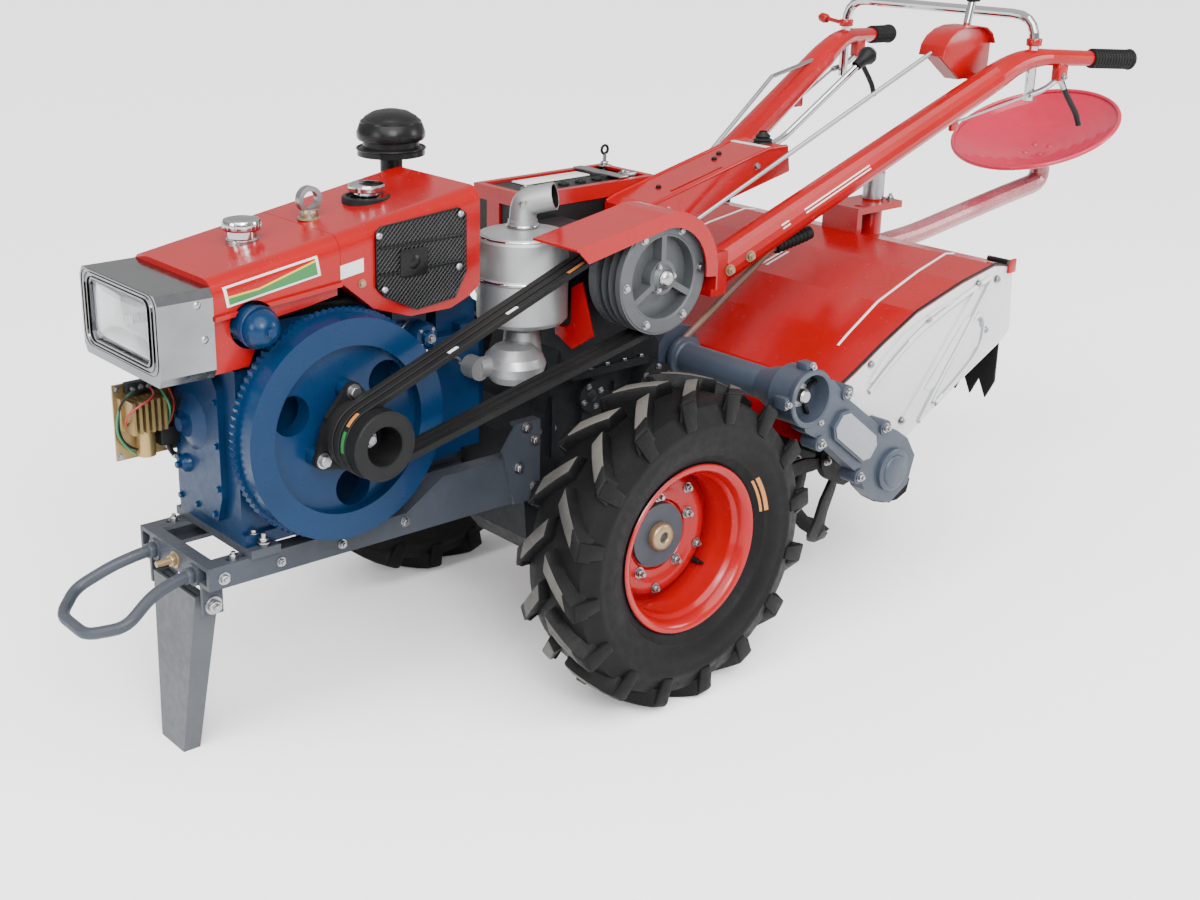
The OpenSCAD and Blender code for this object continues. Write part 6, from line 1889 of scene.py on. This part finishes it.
@dataclass
class SeatTrim:
    """Rolled rim and rivets of the seat pan.

    Attributes:
        middle: Middle of the rim.
        radius: Rim radius.
        depth: Depth of the dish.
        tilt: Forward tilt in degrees.
        rivet: Profile of a rivet.
    """

    middle: Triple = (-1650.0, 0.0, 886.0)
    radius: float = 206.0
    depth: float = 62.0
    tilt: float = 22.0
    rivet: Pairs = ((0, 3.5), (5, 3), (8, 1), (9, 0))

    def build(self) -> None:
        """Makes the seat trim."""
        stock = Stock(SEAT_RED)
        place = shift(*self.middle) @ Matrix.Rotation(math.radians(self.tilt), 4, "Y")
        stock.put(hoop(self.radius - 3.0, 5.5, 72, 12), place @ shift(0, 0, -2))
        stock.repeat(turned(self.rivet, 24), ring(place, 4, 30.0, 1.2 - self.depth, 45.8366))
        stock.make("seat_rim", Body.CHASSIS)


@dataclass(frozen=True)
class Studio:
    """Floor, soft lights and the camera at the photograph's angle.

    Attributes:
        eye: Camera place about the wheel axle, in millimetres.
        azimuth: Turn of the camera round the machine, in degrees.
        elevation: Height angle of the camera, in degrees.
        image_px: Width and height of the image that the next two are measured in.
        focal_px: Focal length in pixels.
        centre_px: Image point that the lens axis meets.
        sensor: Sensor width in millimetres.
        lights: Area lights, each with its name, place, target, side in metres and power in watts.
        sun_power: Strength of the daylight.
        sun_spread: Softness of the daylight, in degrees.
        sun_aim: Direction of the daylight.
        sky_rise: Heights between which the sky brightens.
        sky_light: Strength of the sky at the horizon and overhead.
        floor_half: Half width of the floor in metres.
        floor_colour: Colour of the floor.
        floor_rough: Roughness of the floor.
    """

    eye: Triple = (2072.7, 2474.3, 1572.2)
    azimuth: float = 142.20
    elevation: float = 19.31
    image_px: Pair = (1200.0, 900.0)
    focal_px: float = 1656.68
    centre_px: Pair = (475.65, 423.17)
    sensor: float = 36.0
    lights: tuple[tuple[str, Triple, Triple, float, float], ...] = (
        ("key", (2.6, 3.8, 3.2), (0.3, 0.0, 0.6), 1.6, 220.0),
        ("front", (5.0, 0.2, 2.0), (0.9, 0.0, 0.7), 1.6, 105.0),
        ("rear", (-3.6, 3.2, 2.2), (-0.9, 0.0, 0.7), 1.6, 130.0))
    sun_power: float = 6.6
    sun_spread: float = 70.0
    sun_aim: Triple = (-0.4, -0.62, -0.9)
    sky_rise: Pair = (0.02, 0.75)
    sky_light: Pair = (0.5, 1.05)
    floor_half: float = 40.0
    floor_colour: tuple[float, float, float, float] = (0.95, 0.95, 0.95, 1.0)
    floor_rough: float = 0.85

    def build(self) -> None:
        """Makes the camera, the floor, the sky and the lights."""
        self.camera()
        self.floor()
        self.sky()
        for light in self.lights:
            self.lamp(*light)
        self.daylight()

    def hang(self, item: bpy.types.Object, aim: Vector) -> None:
        """Turns a camera or a light to a direction and adds it to the scene.

        Args:
            item: Camera or light.
            aim: Direction that it looks in.
        """
        item.rotation_mode = "QUATERNION"
        item.rotation_quaternion = aim.to_track_quat("-Z", "Y")
        bpy.context.scene.collection.objects.link(item)

    def camera(self) -> None:
        """Places the camera."""
        wide, high = self.image_px
        data = bpy.data.cameras.new("studio_camera")
        data.sensor_width = self.sensor
        data.lens = self.sensor * self.focal_px / wide
        data.shift_x = (wide / 2 - self.centre_px[0]) / wide
        data.shift_y = (self.centre_px[1] - high / 2) / wide
        cam = bpy.data.objects.new("studio_camera", data)
        cam.location = at(*self.eye)
        a, e = math.radians(self.azimuth), math.radians(self.elevation)
        back = Vector((math.sin(a) * math.cos(e), -math.cos(a) * math.cos(e), math.sin(e)))
        self.hang(cam, -back)
        bpy.context.scene.camera = cam

    def floor(self) -> None:
        """Lays a pale floor on the ground."""
        bm = bmesh.new()
        bmesh.ops.create_grid(bm, x_segments=1, y_segments=1, size=self.floor_half)
        mesh = bpy.data.meshes.new("studio_floor")
        bm.to_mesh(mesh)
        bm.free()
        floor = bpy.data.objects.new("studio_floor", mesh)
        bpy.context.scene.collection.objects.link(floor)
        mat = bpy.data.materials.new("floor_pale")
        mat.use_nodes = True
        shader = mat.node_tree.nodes["Principled BSDF"]
        shader.inputs["Base Color"].default_value = self.floor_colour
        shader.inputs["Roughness"].default_value = self.floor_rough
        mesh.materials.append(mat)

    def sky(self) -> None:
        """Sets a surround that is white overhead and darker at the horizon."""
        world = bpy.data.worlds.new("studio_sky")
        world.use_nodes = True
        tree = world.node_tree
        ground = tree.nodes["Background"]
        split = tree.nodes.new("ShaderNodeSeparateXYZ")
        rise = tree.nodes.new("ShaderNodeMapRange")
        rise.interpolation_type = "SMOOTHSTEP"
        for name, value in zip(("From Min", "From Max", "To Min", "To Max"), self.sky_rise + self.sky_light):
            rise.inputs[name].default_value = value
        tree.links.new(tree.nodes.new("ShaderNodeTexCoord").outputs["Generated"], split.inputs[0])
        tree.links.new(split.outputs["Z"], rise.inputs["Value"])
        tree.links.new(rise.outputs["Result"], ground.inputs["Strength"])
        ground.inputs["Color"].default_value = (1.0, 1.0, 1.0, 1.0)
        bpy.context.scene.world = world

    def daylight(self) -> None:
        """Adds a wide soft light from high on the left that reaches all of the floor evenly."""
        data = bpy.data.lights.new("daylight", "SUN")
        data.energy = self.sun_power
        data.angle = math.radians(self.sun_spread)
        self.hang(bpy.data.objects.new("daylight", data), Vector(self.sun_aim))

    def lamp(self, name: str, place: Triple, target: Triple, size: float, power: float) -> None:
        """Adds one soft area light.

        Args:
            name: Light name.
            place: Where it hangs.
            target: What it points at.
            size: Side of the square light in metres.
            power: Power in watts.
        """
        data = bpy.data.lights.new(name, "AREA")
        data.size = size
        data.energy = power
        lamp = bpy.data.objects.new(name, data)
        lamp.location = place
        self.hang(lamp, Vector(target) - Vector(place))


def main() -> None:
    """Builds the studio and dresses the machine."""
    logging.basicConfig(level=logging.INFO, format="%(name)s: %(message)s")
    Studio().build()
    dress_frame()
    assemblies = (Wheel(1, Body.LEFT_WHEEL), Wheel(-1, Body.RIGHT_WHEEL), BeltDrive(), PulleyFaces(), Hood(),
                  Lamp(), Grille(), Exhaust(), Engine(), Panel(), BatteryTop(), BoxTrim(), Handles(),
                  Tiller(), SeatTrim())
    for assembly in assemblies:
        assembly.build()


if __name__ == "__main__":
    main()
